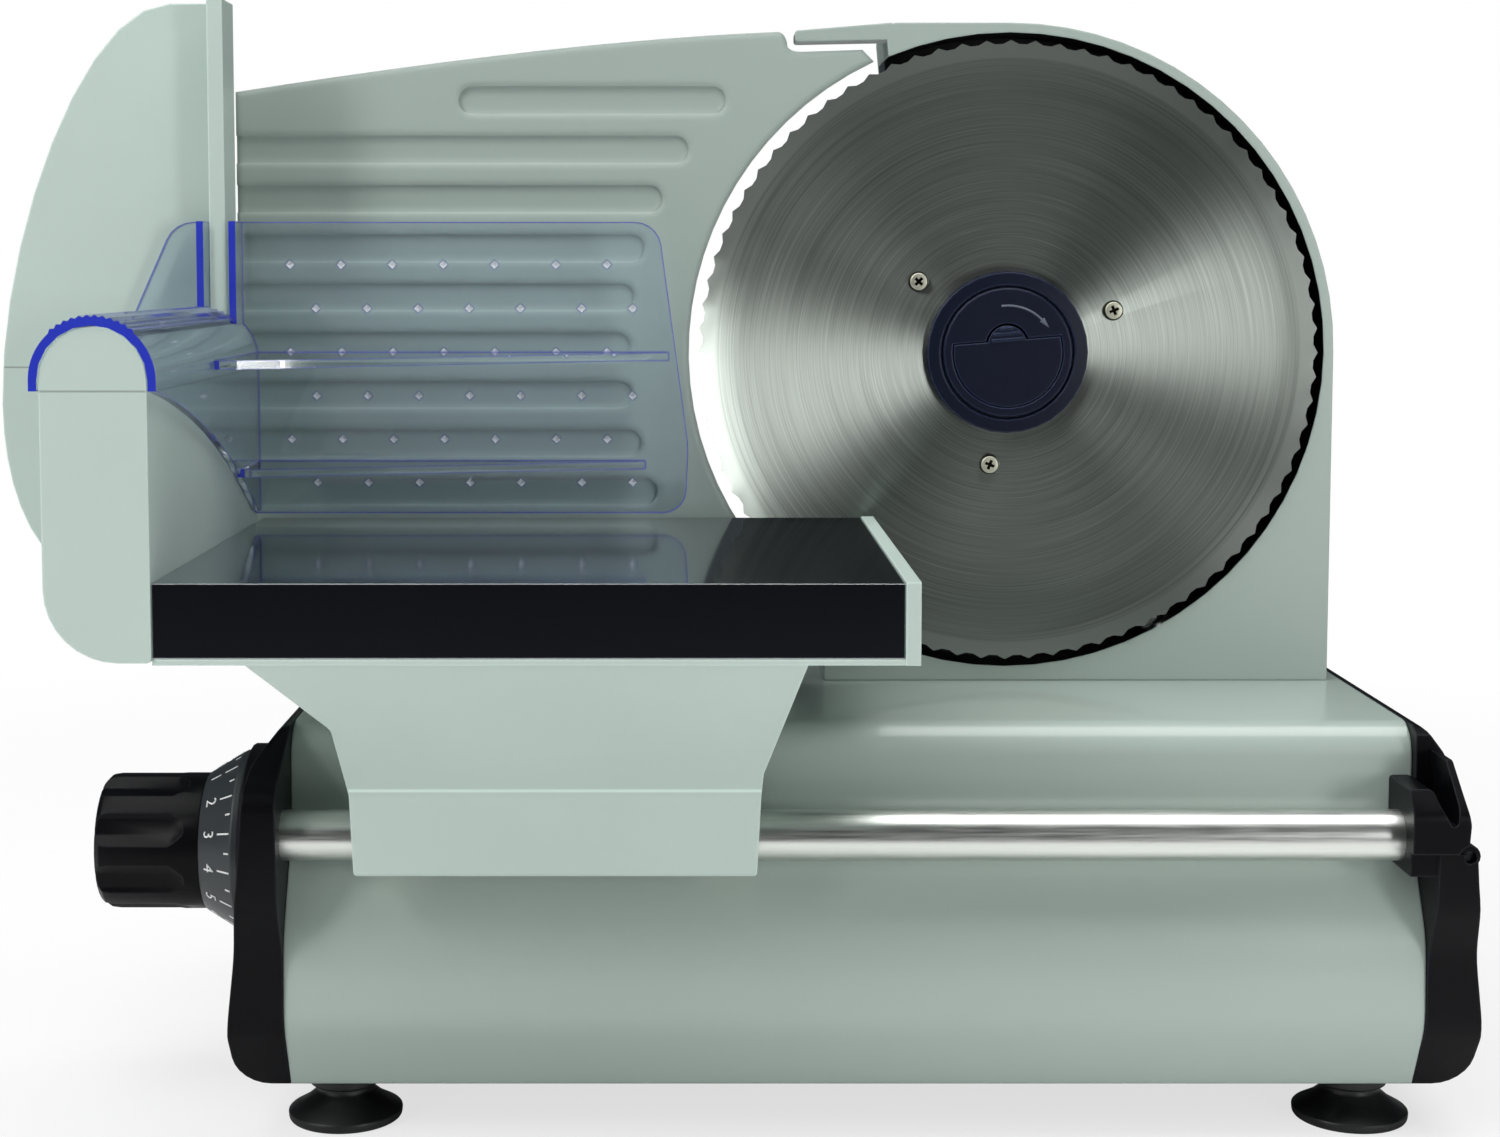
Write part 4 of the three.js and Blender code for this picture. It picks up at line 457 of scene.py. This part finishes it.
def blade_finish(tint):
    """Steel turned on a lathe: rings round the axis that stretch every highlight into rays."""
    made = Finish("blade_steel")
    x, _, z = made.spoke()
    radius = made.radius(x, z)
    cosine = made.math("DIVIDE", x, radius)
    sine = made.math("DIVIDE", z, radius)

    def rings(per_metre, detail, roughness):
        place = made.join(made.math("MULTIPLY", radius, per_metre), cosine, sine)
        return made.noise(1, detail, roughness, place)

    fine = rings(2400, 3, 0.6)
    broad = rings(700, 2, 0.5)
    # Painted highlight: the ground edge of the blade is painted lighter, for the light its bevel catches
    ground_edge_highlight = made.ranged(radius, *GROUND_EDGE, 0.0, 1.0)
    tone = made.varied(made.spread(fine, 0.0, 1.0), tint, 0.68, 1.12)
    tone = made.mixed(made.ranged(broad, 0.35, 0.65, 0.0, 0.12), tone, scaled(tint, 0.75))
    made.paint(made.mixed(ground_edge_highlight, tone, scaled(tint, 1.1)))
    made.roughen(made.ranged(fine, 0.25, 0.75, 0.28, 0.3))
    made.set(Metallic=1.0, Anisotropic=0.93)
    made.wire(made.join(x, 0.0, z), made.shader.inputs["Tangent"])
    made.relief(fine, strength=0.014, distance=0.00003)
    return made.material


def sheet_finish(tint, edge_light_tint):
    """Polished sheet with a faint haze, a few fine wipe marks and a painted highlight on its folded
    edges.
    """
    made = Finish("tray_steel")
    haze = made.noise(9, 4)
    # Painted highlight: the folded edges are painted pale and made less metallic
    fold = made.edges(0.0005)
    made.paint(made.mixed(fold, made.varied(haze, tint, 0.85, 1.08), edge_light_tint))
    made.wire(made.ranged(fold, 0.0, 1.0, 1.0, 0.2), made.shader.inputs["Metallic"])
    made.roughen(made.spread(made.streaks(14, 900), 0.05, 0.11))
    made.relief(haze, strength=0.05, distance=0.001, normal=made.rounded(0.0006))
    return made.material


def bar_finish(name, tint, roughness):
    """Drawn or turned bar with fine marks along it."""
    made = Finish(name)
    marks = made.streaks(60, 2200)
    made.paint(made.varied(marks, tint, 0.8, 1.0))
    made.roughen(made.spread(marks, roughness - 0.05, roughness + 0.06))
    made.set(Metallic=1.0)
    made.relief(marks, strength=0.04, distance=0.0001, normal=made.rounded(0.0005))
    return made.material


def nickel_finish(name, tint, slot_shade_tint, front):
    """Plated metal, bright on the flat of the head, with painted shade down its sides and in its slots.
    """
    made = Finish(name)
    wear = made.noise(600)
    depth = made.math("SUBTRACT", made.split(made.place)[1], front)
    # Painted shade: the head's sides and slots turn dark with depth
    shaded_depth = made.ranged(depth, *SCREW_SHADE, 0.0, 1.0)
    made.paint(made.mixed(shaded_depth, made.varied(wear, tint, 0.9, 1.0), slot_shade_tint))
    made.roughen(made.spread(wear, 0.36, 0.46))
    made.set(Metallic=0.75, Specular_IOR_Level=0.2)
    made.relief(wear, strength=0.03, distance=0.0001, normal=made.rounded(0.0002))
    return made.material


def clear_finish(tint, edge_light_tint):
    """Clear moulding whose edges and arch show painted blue light, with its spikes painted white as a
    painted glint.
    """
    made = Finish("clear_plastic")
    low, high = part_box("food_pusher")
    across, depth, _ = made.split(made.place)
    ahead = made.math("LESS_THAN", depth, high.y - PUSHER_SHEET)
    arch = made.math("MULTIPLY", ahead, made.math("LESS_THAN", across, low.x + PUSHER_ARCH))
    front = made.math("MULTIPLY", arch, made.faces_front(-0.95, "True Normal"))
    # Painted light: the edges and the arch's front are painted blue, for the light the clear plastic
    # gathers there
    edge_light = made.math("MAXIMUM", made.edges(0.0011), front)
    # Painted highlight: the spikes behind the plate are painted white for their glints
    spike_glint = made.math("GREATER_THAN", depth, high.y - PUSHER_SPIKES)
    tone = made.mixed(made.math("MULTIPLY", edge_light, 0.97), tint, edge_light_tint)
    made.paint(made.mixed(spike_glint, tone, WHITE))
    made.roughen(made.spread(made.noise(140), 0.02, 0.06))
    solid = made.math("MAXIMUM", edge_light, spike_glint)
    made.wire(made.ranged(solid, 0.0, 1.0, 1.0, 0.1), made.shader.inputs["Transmission Weight"])
    made.set(IOR=1.49)
    made.relief(made.noise(60), strength=0.02, distance=0.0006)
    return made.material


def rubber_finish(tint):
    """Soft rubber with a dull bloom."""
    made = Finish("foot_rubber")
    bloom = made.noise(120, 4)
    made.paint(made.varied(bloom, tint, 0.7, 1.9))
    made.roughen(made.spread(bloom, 0.38, 0.6))
    made.relief(made.noise(1600), strength=0.08, distance=0.0003)
    return made.material


def make_finishes(colours):
    tint = {name: tuple(getattr(colours, name)) for name in SlicerColours.__annotations__}
    # The last share in each moulding is how much lighter the painted highlight on its sharp edges is
    carriage = {"tint": tint["moulding"], "roughness": 0.36, "grain": 0.05, "edge_light": 1.5}
    return {
        "grey_paint": enamel_finish("grey_enamel", tint["enamel"]),
        "pressed_paint": enamel_finish("pressed_enamel", tint["enamel"], rounding=0.0035),
        "recess_shaded_paint": enamel_finish("lined_enamel", tint["enamel"], recess_shade=tint["black"]),
        "grey_plastic": moulding_finish("grey_moulding", **carriage),
        "seamed_plastic": moulding_finish("seamed_moulding", **carriage, seam=SEAM_HEIGHT),
        "folded_plastic": moulding_finish("folded_moulding", **carriage, fold=FOLD_HEIGHT),
        "black_plastic": moulding_finish("black_moulding", tint["black"], 0.36, 0.06, gloss=0.1, edge_light=8),
        "dial_grey": moulding_finish("dial_moulding", tint["dial"], 0.36, 0.05, gloss=0.4, edge_light=1.6),
        "lock_plastic": moulding_finish("lock_moulding", tint["lock"], 0.34, 0.06, gloss=0.25, edge_light=5),
        "clear_plastic": clear_finish(tint["clear"], tint["clear_edge"]),
        "rubber": rubber_finish(tint["rubber"]),
        "blade_steel": blade_finish(tint["steel"]),
        "mirror_steel": sheet_finish(tint["tray"], shade(214, 220, 218)),
        "rod_steel": bar_finish("rod_steel", tint["chrome"], 0.33),
        "steel": bar_finish("plain_steel", shade(196, 198, 196), 0.3),
        "dark_steel": bar_finish("dark_steel", shade(44, 45, 48), 0.4),
        "bronze": nickel_finish("screw_nickel", shade(205, 205, 186), shade(30, 28, 20), SCREW_FRONT),
        "nylon": moulding_finish("white_moulding", shade(230, 228, 218), 0.45, 0.05),
        "marks": moulding_finish("dial_marks", tint["marks"], 0.5, 0.02),
        "lock_relief": moulding_finish("lock_relief", shade(92, 98, 112), 0.4, 0.05, gloss=0.3),
    }


FINISHES = {}
SPECIAL_FINISHES = {
    # The blade housing gets painted shade in the room round the blade
    "blade_housing": "recess_shaded_paint",
    "thickness_plate": "pressed_paint",
    "carriage_wall": "seamed_plastic",
    "carriage_bracket": "folded_plastic",
    "catch_pin": "dark_steel",
}


# Finishes of the stage

def floor_finish():
    """Pale floor that keeps the shadow and shows whiter to the camera."""
    made = Finish("studio_floor")
    made.paint((*FLOOR_TINT, 1))
    made.roughen(0.6)
    reach = made.vector("LENGTH", made.place, output=1)
    share = made.ranged(reach, *FLOOR_FADE, *FLOOR_WHITE)
    white = made.math("MULTIPLY", made.seen(), share)
    glow = made.add("ShaderNodeEmission")
    made.blend(white, made.shader.outputs[0], glow.outputs[0], "Material Output")
    return made.material


def card_finish():
    made = Finish("dark_card")
    made.paint((*CARD_TINT, 1))
    made.roughen(1.0)
    return made.material


def studio_world():
    """White to the camera, a soft even light on the pieces, and dim and cool in reflections."""
    world = bpy.data.worlds.new("studio")
    world.use_nodes = True
    made = Nodes(world.node_tree)
    glossy = made.ray("Glossy")
    soft = made.tree.nodes["Background"]
    made.wire(made.mixed(glossy, WHITE, GLOSS_TINT), soft.inputs["Color"])
    made.wire(made.ranged(glossy, 0.0, 1.0, SOFT_LEVEL, GLOSS_LEVEL), soft.inputs["Strength"])
    white = made.add("ShaderNodeBackground")
    made.wire((*WHITE, 1), white.inputs["Color"])
    made.blend(made.seen(), soft.outputs[0], white.outputs[0], "World Output")
    return world


# Modelling helpers

def deselect_all():
    if bpy.context.mode != "OBJECT":
        bpy.ops.object.mode_set(mode="OBJECT")
    bpy.ops.object.select_all(action="DESELECT")


def select_only(*objects):
    deselect_all()
    for item in objects:
        item.select_set(True)
    bpy.context.view_layer.objects.active = objects[0]


def select_faces(piece, wanted):
    """Opens the piece in edit mode with the faces selected that a test picks."""
    select_only(piece)
    bpy.ops.object.mode_set(mode="EDIT")
    bpy.ops.mesh.select_mode(type="FACE")
    bpy.ops.mesh.select_all(action="DESELECT")
    bpy.ops.object.mode_set(mode="OBJECT")
    for face in piece.data.polygons:
        face.select = wanted(face)
    bpy.ops.object.mode_set(mode="EDIT")


def faces_up(face):
    return face.normal.z > 0.9


def faces_down(face):
    return face.normal.z < -0.9


def taper(piece, wanted, share):
    """Draws the faces that a test picks in towards their middle."""
    select_faces(piece, wanted)
    bpy.ops.transform.resize(value=(share, share, 1))
    bpy.ops.object.mode_set(mode="OBJECT")


def apply_modifier(piece, kind, **settings):
    select_only(piece)
    modifier = piece.modifiers.new(kind, kind)
    for key, value in settings.items():
        setattr(modifier, key, value)
    bpy.ops.object.modifier_apply(modifier=modifier.name)


def bevel(piece, width, segments, degrees):
    """Rounds the edges that turn by more than an angle."""
    angle = math.radians(degrees)
    apply_modifier(
        piece, "BEVEL", width=width, segments=segments, limit_method="ANGLE", angle_limit=angle
    )


def copied(piece):
    twin = piece.copy()
    twin.data = piece.data.copy()
    bpy.context.collection.objects.link(twin)
    return twin


def settle(piece, name, body, slot, material=None):
    """Applies a piece's place to its mesh, names it, and lets it ride on its body."""
    select_only(piece)
    bpy.ops.object.transform_apply(location=True, rotation=True, scale=True)
    piece.name = name
    piece.data.name = name
    piece.data.materials.clear()
    piece.data.materials.append(FINISHES[material or slot])
    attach(piece, body)


# Operators

class SlicerOperator(bpy.types.Operator):
    """What the slicer's operators share."""

    bl_options = {"REGISTER", "UNDO"}

    @property
    def sizes(self):
        return bpy.context.scene.slicer_sizes

    @property
    def colours(self):
        return bpy.context.scene.slicer_colours


class SLICER_OT_finish_nodes(SlicerOperator):
    """Give every CAD piece its finish and soft shading"""

    bl_idname = "slicer.finish_nodes"
    bl_label = "Finish Pieces"

    def execute(self, context):
        FINISHES.update(make_finishes(self.colours))
        for entry in frame["record"]["subparts"]:
            node = NODES[entry["node"]]
            finish = SPECIAL_FINISHES.get(entry["node"], entry["material_slot"])
            node.data.materials.clear()
            node.data.materials.append(FINISHES[finish])
            select_only(node)
            if node.data.has_custom_normals:
                bpy.ops.mesh.customdata_custom_splitnormals_clear()
            bpy.ops.object.shade_smooth()
            weld = node.modifiers.new("Weld", "WELD")
            weld.merge_threshold = WELD_DISTANCE
            split = node.modifiers.new("Split", "EDGE_SPLIT")
            split.split_angle = math.radians(SPLIT_ANGLE)
        return {"FINISHED"}


class SLICER_OT_make_screws(SlicerOperator):
    """Make the cross-slotted screws of the blade and of the rear cover"""

    bl_idname = "slicer.make_screws"
    bl_label = "Make Screws"

    def execute(self, context):
        for screws in SCREWS:
            self.fit(*screws)
        return {"FINISHED"}

    def fit(self, kind, count, body, slot, facing, turn):
        low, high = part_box(f"{kind}_1")
        pattern = self.screw((high.x - low.x) / 2, high.y - low.y)
        for number in range(1, count + 1):
            node = f"{kind}_{number}"
            low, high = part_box(node)
            head = high.y if facing > 0 else low.y
            place = Matrix.Translation((middle(node).x, head, middle(node).z))
            tilt = Matrix.Rotation(-facing * math.pi / 2, 4, "X")
            spin = Matrix.Rotation(math.radians(turn * number), 4, "Z")
            piece = copied(pattern)
            piece.matrix_world = place @ tilt @ spin
            settle(piece, f"cross_{node}", body, slot)
            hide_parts(node)
        bpy.data.objects.remove(pattern)

    def screw(self, radius, long):
        """A pan-head screw along Z with the top of its head at the origin."""
        head = radius * SCREW_HEAD
        deselect_all()
        bpy.ops.mesh.primitive_cylinder_add(
            vertices=40, radius=radius, depth=head, location=(0, 0, -head / 2)
        )
        piece = bpy.context.object
        bpy.ops.object.transform_apply(location=True)
        select_faces(piece, faces_down)
        bpy.ops.mesh.inset(thickness=radius * SCREW_STEP)
        bpy.ops.mesh.extrude_region_move(TRANSFORM_OT_translate={"value": (0, 0, head - long)})
        bpy.ops.object.mode_set(mode="OBJECT")
        taper(piece, faces_up, SCREW_TOP)
        bevel(piece, radius * SCREW_BEVEL, segments=3, degrees=25)
        for turn in (0, math.pi / 2):
            self.cut(piece, (radius * CUTTER_LENGTH, self.sizes.screw_slot, head * CUTTER_HEIGHT), turn)
        select_only(piece)
        bpy.ops.object.shade_smooth_by_angle(angle=math.radians(30))
        return piece

    def cut(self, piece, size, turn):
        """Cuts one slot of the cross into the top of a screw."""
        deselect_all()
        bpy.ops.mesh.primitive_cube_add(size=1, rotation=(0, 0, turn))
        cutter = bpy.context.object
        cutter.scale = size
        bpy.ops.object.transform_apply(rotation=True, scale=True)
        taper(cutter, faces_down, CUTTER_TAPER)
        apply_modifier(piece, "BOOLEAN", object=cutter, operation="DIFFERENCE", solver="EXACT")
        bpy.data.objects.remove(cutter)


class SLICER_OT_make_feet(SlicerOperator):
    """Make the round suction feet"""

    bl_idname = "slicer.make_feet"
    bl_label = "Make Feet"

    def execute(self, context):
        low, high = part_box(FEET[0])
        pattern = self.cup((high.x - low.x) / 2)
        for node in FEET:
            piece = copied(pattern)
            piece.location = (middle(node).x, middle(node).y, low.z)
            settle(piece, f"cup_{node}", "base", "rubber")
            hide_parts(node)
        bpy.data.objects.remove(pattern)
        return {"FINISHED"}

    def cup(self, radius):
        """A suction cup drawn up ring by ring from its underside."""
        share, height = CUP_RINGS[0]
        deselect_all()
        bpy.ops.mesh.primitive_circle_add(
            vertices=72, radius=radius * share, fill_type="NGON", location=(0, 0, height)
        )
        piece = bpy.context.object
        bpy.ops.object.transform_apply(location=True)
        bpy.ops.object.mode_set(mode="EDIT")
        bpy.ops.mesh.select_mode(type="FACE")
        bpy.ops.mesh.select_all(action="SELECT")
        for next_share, next_height in CUP_RINGS[1:]:
            step = (0, 0, next_height - height)
            bpy.ops.mesh.extrude_region_move(TRANSFORM_OT_translate={"value": step})
            bpy.ops.transform.resize(value=(next_share / share, next_share / share, 1))
            share, height = next_share, next_height
        bpy.ops.mesh.select_all(action="SELECT")
        bpy.ops.mesh.normals_make_consistent(inside=False)
        bpy.ops.object.mode_set(mode="OBJECT")
        bevel(piece, CUP_BEVEL, segments=2, degrees=20)
        bpy.ops.object.shade_smooth_by_angle(angle=math.radians(40))
        return piece


class SLICER_OT_mark_dial(SlicerOperator):
    """Make the numbers and the marks of the thickness dial"""

    bl_idname = "slicer.mark_dial"
    bl_label = "Mark Dial"

    def execute(self, context):
        marks = [self.number(value) for value in range(DIAL_LAST + 1)]
        marks += [self.tick(half / 2) for half in range(2 * DIAL_LAST + 1)]
        select_only(*marks)
        bpy.ops.object.join()
        settle(context.object, "dial_marks", "dial", "dial_grey", "marks")
        return {"FINISHED"}

    def frame_at(self, value, along):
        """A place on the dial's cone at a setting, with axes across the cone, up it and out of it."""
        low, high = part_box("dial_ring")
        small, large = DIAL_CONE
        turn = math.radians(DIAL_STEP * (value - DIAL_FRONT))
        out = Vector((0, -math.cos(turn), -math.sin(turn)))
        slope = math.atan2(large - small, high.x - low.x - DIAL_RIM)
        up = Vector((math.cos(slope), 0, 0)) + out * math.sin(slope)
        normal = out * math.cos(slope) - Vector((math.sin(slope), 0, 0))
        centre = Vector((low.x, DIAL_CENTRE.y, DIAL_CENTRE.z)) + out * small + up * along
        axes = Matrix((up.cross(normal), up, normal)).transposed().to_4x4()
        return Matrix.Translation(centre) @ axes

    def number(self, value):
        deselect_all()
        bpy.ops.object.text_add()
        text = bpy.context.object
        text.data.body = str(value)
        text.data.align_x = "CENTER"
        text.data.size = self.sizes.digit_height / DIGIT_SHARE
        text.data.extrude = self.sizes.mark_height
        text.data.resolution_u = 3
        text.matrix_world = self.frame_at(value, DIGIT_FOOT)
        bpy.ops.object.convert(target="MESH")
        return bpy.context.object

    def tick(self, value):
        """A mark at a setting, shorter between two whole settings."""
        long = self.sizes.tick_length * (1 if value == int(value) else HALF_TICK)
        size = Matrix.Diagonal((self.sizes.tick_width, long, 2 * self.sizes.mark_height, 1))
        deselect_all()
        bpy.ops.mesh.primitive_cube_add(size=1)
        tick = bpy.context.object
        tick.matrix_world = self.frame_at(value, TICK_TOP - long / 2) @ size
        bpy.ops.object.transform_apply()
        return tick


class SLICER_OT_make_arrow(SlicerOperator):
    """Make the raised arrow on the blade lock that shows which way it turns"""

    bl_idname = "slicer.make_arrow"
    bl_label = "Make Lock Arrow"

    def execute(self, context):
        radius = self.sizes.arrow_radius
        width = self.sizes.arrow_width
        start, end = (math.radians(angle) for angle in ARROW_SPAN)
        arc = self.arc(radius, width, start, end)
        bpy.ops.mesh.primitive_cone_add(
            vertices=3, radius1=ARROW_HEAD_RADIUS * width, radius2=0.0, depth=ARROW_HEAD_LENGTH * width
        )
        head = context.object
        upright = Matrix.Rotation(math.pi / 2, 4, "X")
        head.matrix_world = (
            Matrix.Rotation(end, 4, "Z")
            @ Matrix.Translation((radius, -ARROW_HEAD_START * width, 0))
            @ upright
            @ Matrix.Diagonal((1, ARROW_FLATNESS, 1, 1))
        )
        select_only(arc, head)
        bpy.ops.object.join()
        arc.matrix_world = Matrix.Translation((BLADE_CENTRE.x, LOCK_FRONT, BLADE_CENTRE.z)) @ upright
        settle(arc, "lock_arrow", "blade_lock", "lock_plastic", "lock_relief")
        return {"FINISHED"}

    def arc(self, radius, width, start, end):
        """A round line along part of a circle, closed at both ends."""
        deselect_all()
        bpy.ops.mesh.primitive_torus_add(
            major_radius=radius, minor_radius=width / 2, major_segments=120, minor_segments=10
        )
        arc = bpy.context.object
        bpy.ops.object.mode_set(mode="EDIT")
        bpy.ops.mesh.select_mode(type="VERT")
        bpy.ops.mesh.select_all(action="DESELECT")
        bpy.ops.object.mode_set(mode="OBJECT")
        for vertex in arc.data.vertices:
            angle = math.atan2(vertex.co.y, vertex.co.x)
            vertex.select = not end <= angle <= start
        bpy.ops.object.mode_set(mode="EDIT")
        bpy.ops.mesh.delete(type="VERT")
        bpy.ops.mesh.select_all(action="SELECT")
        bpy.ops.mesh.fill_holes(sides=12)
        bpy.ops.object.mode_set(mode="OBJECT")
        return arc


class SLICER_OT_make_stage(SlicerOperator):
    """Make the floor, the lights, the world and the camera"""

    bl_idname = "slicer.make_stage"
    bl_label = "Make Stage"

    def execute(self, context):
        scene = context.scene
        scene.view_settings.view_transform = "Standard"
        scene.world = studio_world()
        deselect_all()
        bpy.ops.mesh.primitive_plane_add(size=FLOOR_SIZE)
        floor = context.object
        floor.name = "floor"
        floor.data.materials.append(floor_finish())
        for lamp in LAMPS:
            self.lamp(*lamp)
        dark = card_finish()
        for card in CARDS:
            self.card(*card, dark)
        scene.camera = self.camera()
        return {"FINISHED"}

    def lamp(self, name, place, target, size, power):
        bpy.ops.object.light_add(type="AREA", location=place)
        lamp = bpy.context.object
        lamp.name = name
        lamp.data.shape = "RECTANGLE"
        lamp.data.size, lamp.data.size_y = size
        lamp.data.energy = power
        aim = Vector(target) - Vector(place)
        lamp.rotation_euler = aim.to_track_quat("-Z", "Y").to_euler()

    def card(self, name, place, size, tilt, material):
        """A dark card that only reflections see."""
        bpy.ops.mesh.primitive_plane_add(size=1, location=place, rotation=(math.radians(tilt), 0, 0))
        card = bpy.context.object
        card.scale = (*size, 1)
        card.name = name
        card.data.materials.append(material)
        card.visible_camera = False
        card.visible_shadow = False
        card.visible_diffuse = False
        card.visible_transmission = False

    def camera(self):
        tilt = math.radians(90 - CAMERA_PITCH)
        bpy.ops.object.camera_add(location=CAMERA_PLACE, rotation=(tilt, 0, 0))
        camera = bpy.context.object
        camera.data.lens = CAMERA_LENS
        camera.data.sensor_width = SENSOR_WIDTH
        camera.data.sensor_fit = "HORIZONTAL"
        camera.data.shift_x, camera.data.shift_y = CAMERA_SHIFT
        camera.data.dof.use_dof = False
        return camera


OPERATORS = (
    SLICER_OT_finish_nodes,
    SLICER_OT_make_screws,
    SLICER_OT_make_feet,
    SLICER_OT_mark_dial,
    SLICER_OT_make_arrow,
    SLICER_OT_make_stage,
)


class SLICER_PT_panel(bpy.types.Panel):
    """Buttons for the slicer's pieces, with their sizes and colours."""

    bl_label = "Food Slicer"
    bl_idname = "SLICER_PT_panel"
    bl_space_type = "VIEW_3D"
    bl_region_type = "UI"
    bl_category = "Slicer"

    def draw(self, context):
        for operator in OPERATORS:
            self.layout.operator(operator.bl_idname)
        for settings in (context.scene.slicer_sizes, context.scene.slicer_colours):
            box = self.layout.box()
            for name in type(settings).__annotations__:
                box.prop(settings, name)


CLASSES = (SlicerSizes, SlicerColours, *OPERATORS, SLICER_PT_panel)


def register():
    for item in CLASSES:
        bpy.utils.register_class(item)
    bpy.types.Scene.slicer_sizes = bpy.props.PointerProperty(type=SlicerSizes)
    bpy.types.Scene.slicer_colours = bpy.props.PointerProperty(type=SlicerColours)


def unregister():
    del bpy.types.Scene.slicer_colours
    del bpy.types.Scene.slicer_sizes
    for item in reversed(CLASSES):
        bpy.utils.unregister_class(item)


def main():
    register()
    bpy.ops.slicer.finish_nodes()
    bpy.ops.slicer.make_screws()
    bpy.ops.slicer.make_feet()
    bpy.ops.slicer.mark_dial()
    bpy.ops.slicer.make_arrow()
    bpy.ops.slicer.make_stage()


if __name__ == "__main__":
    main()
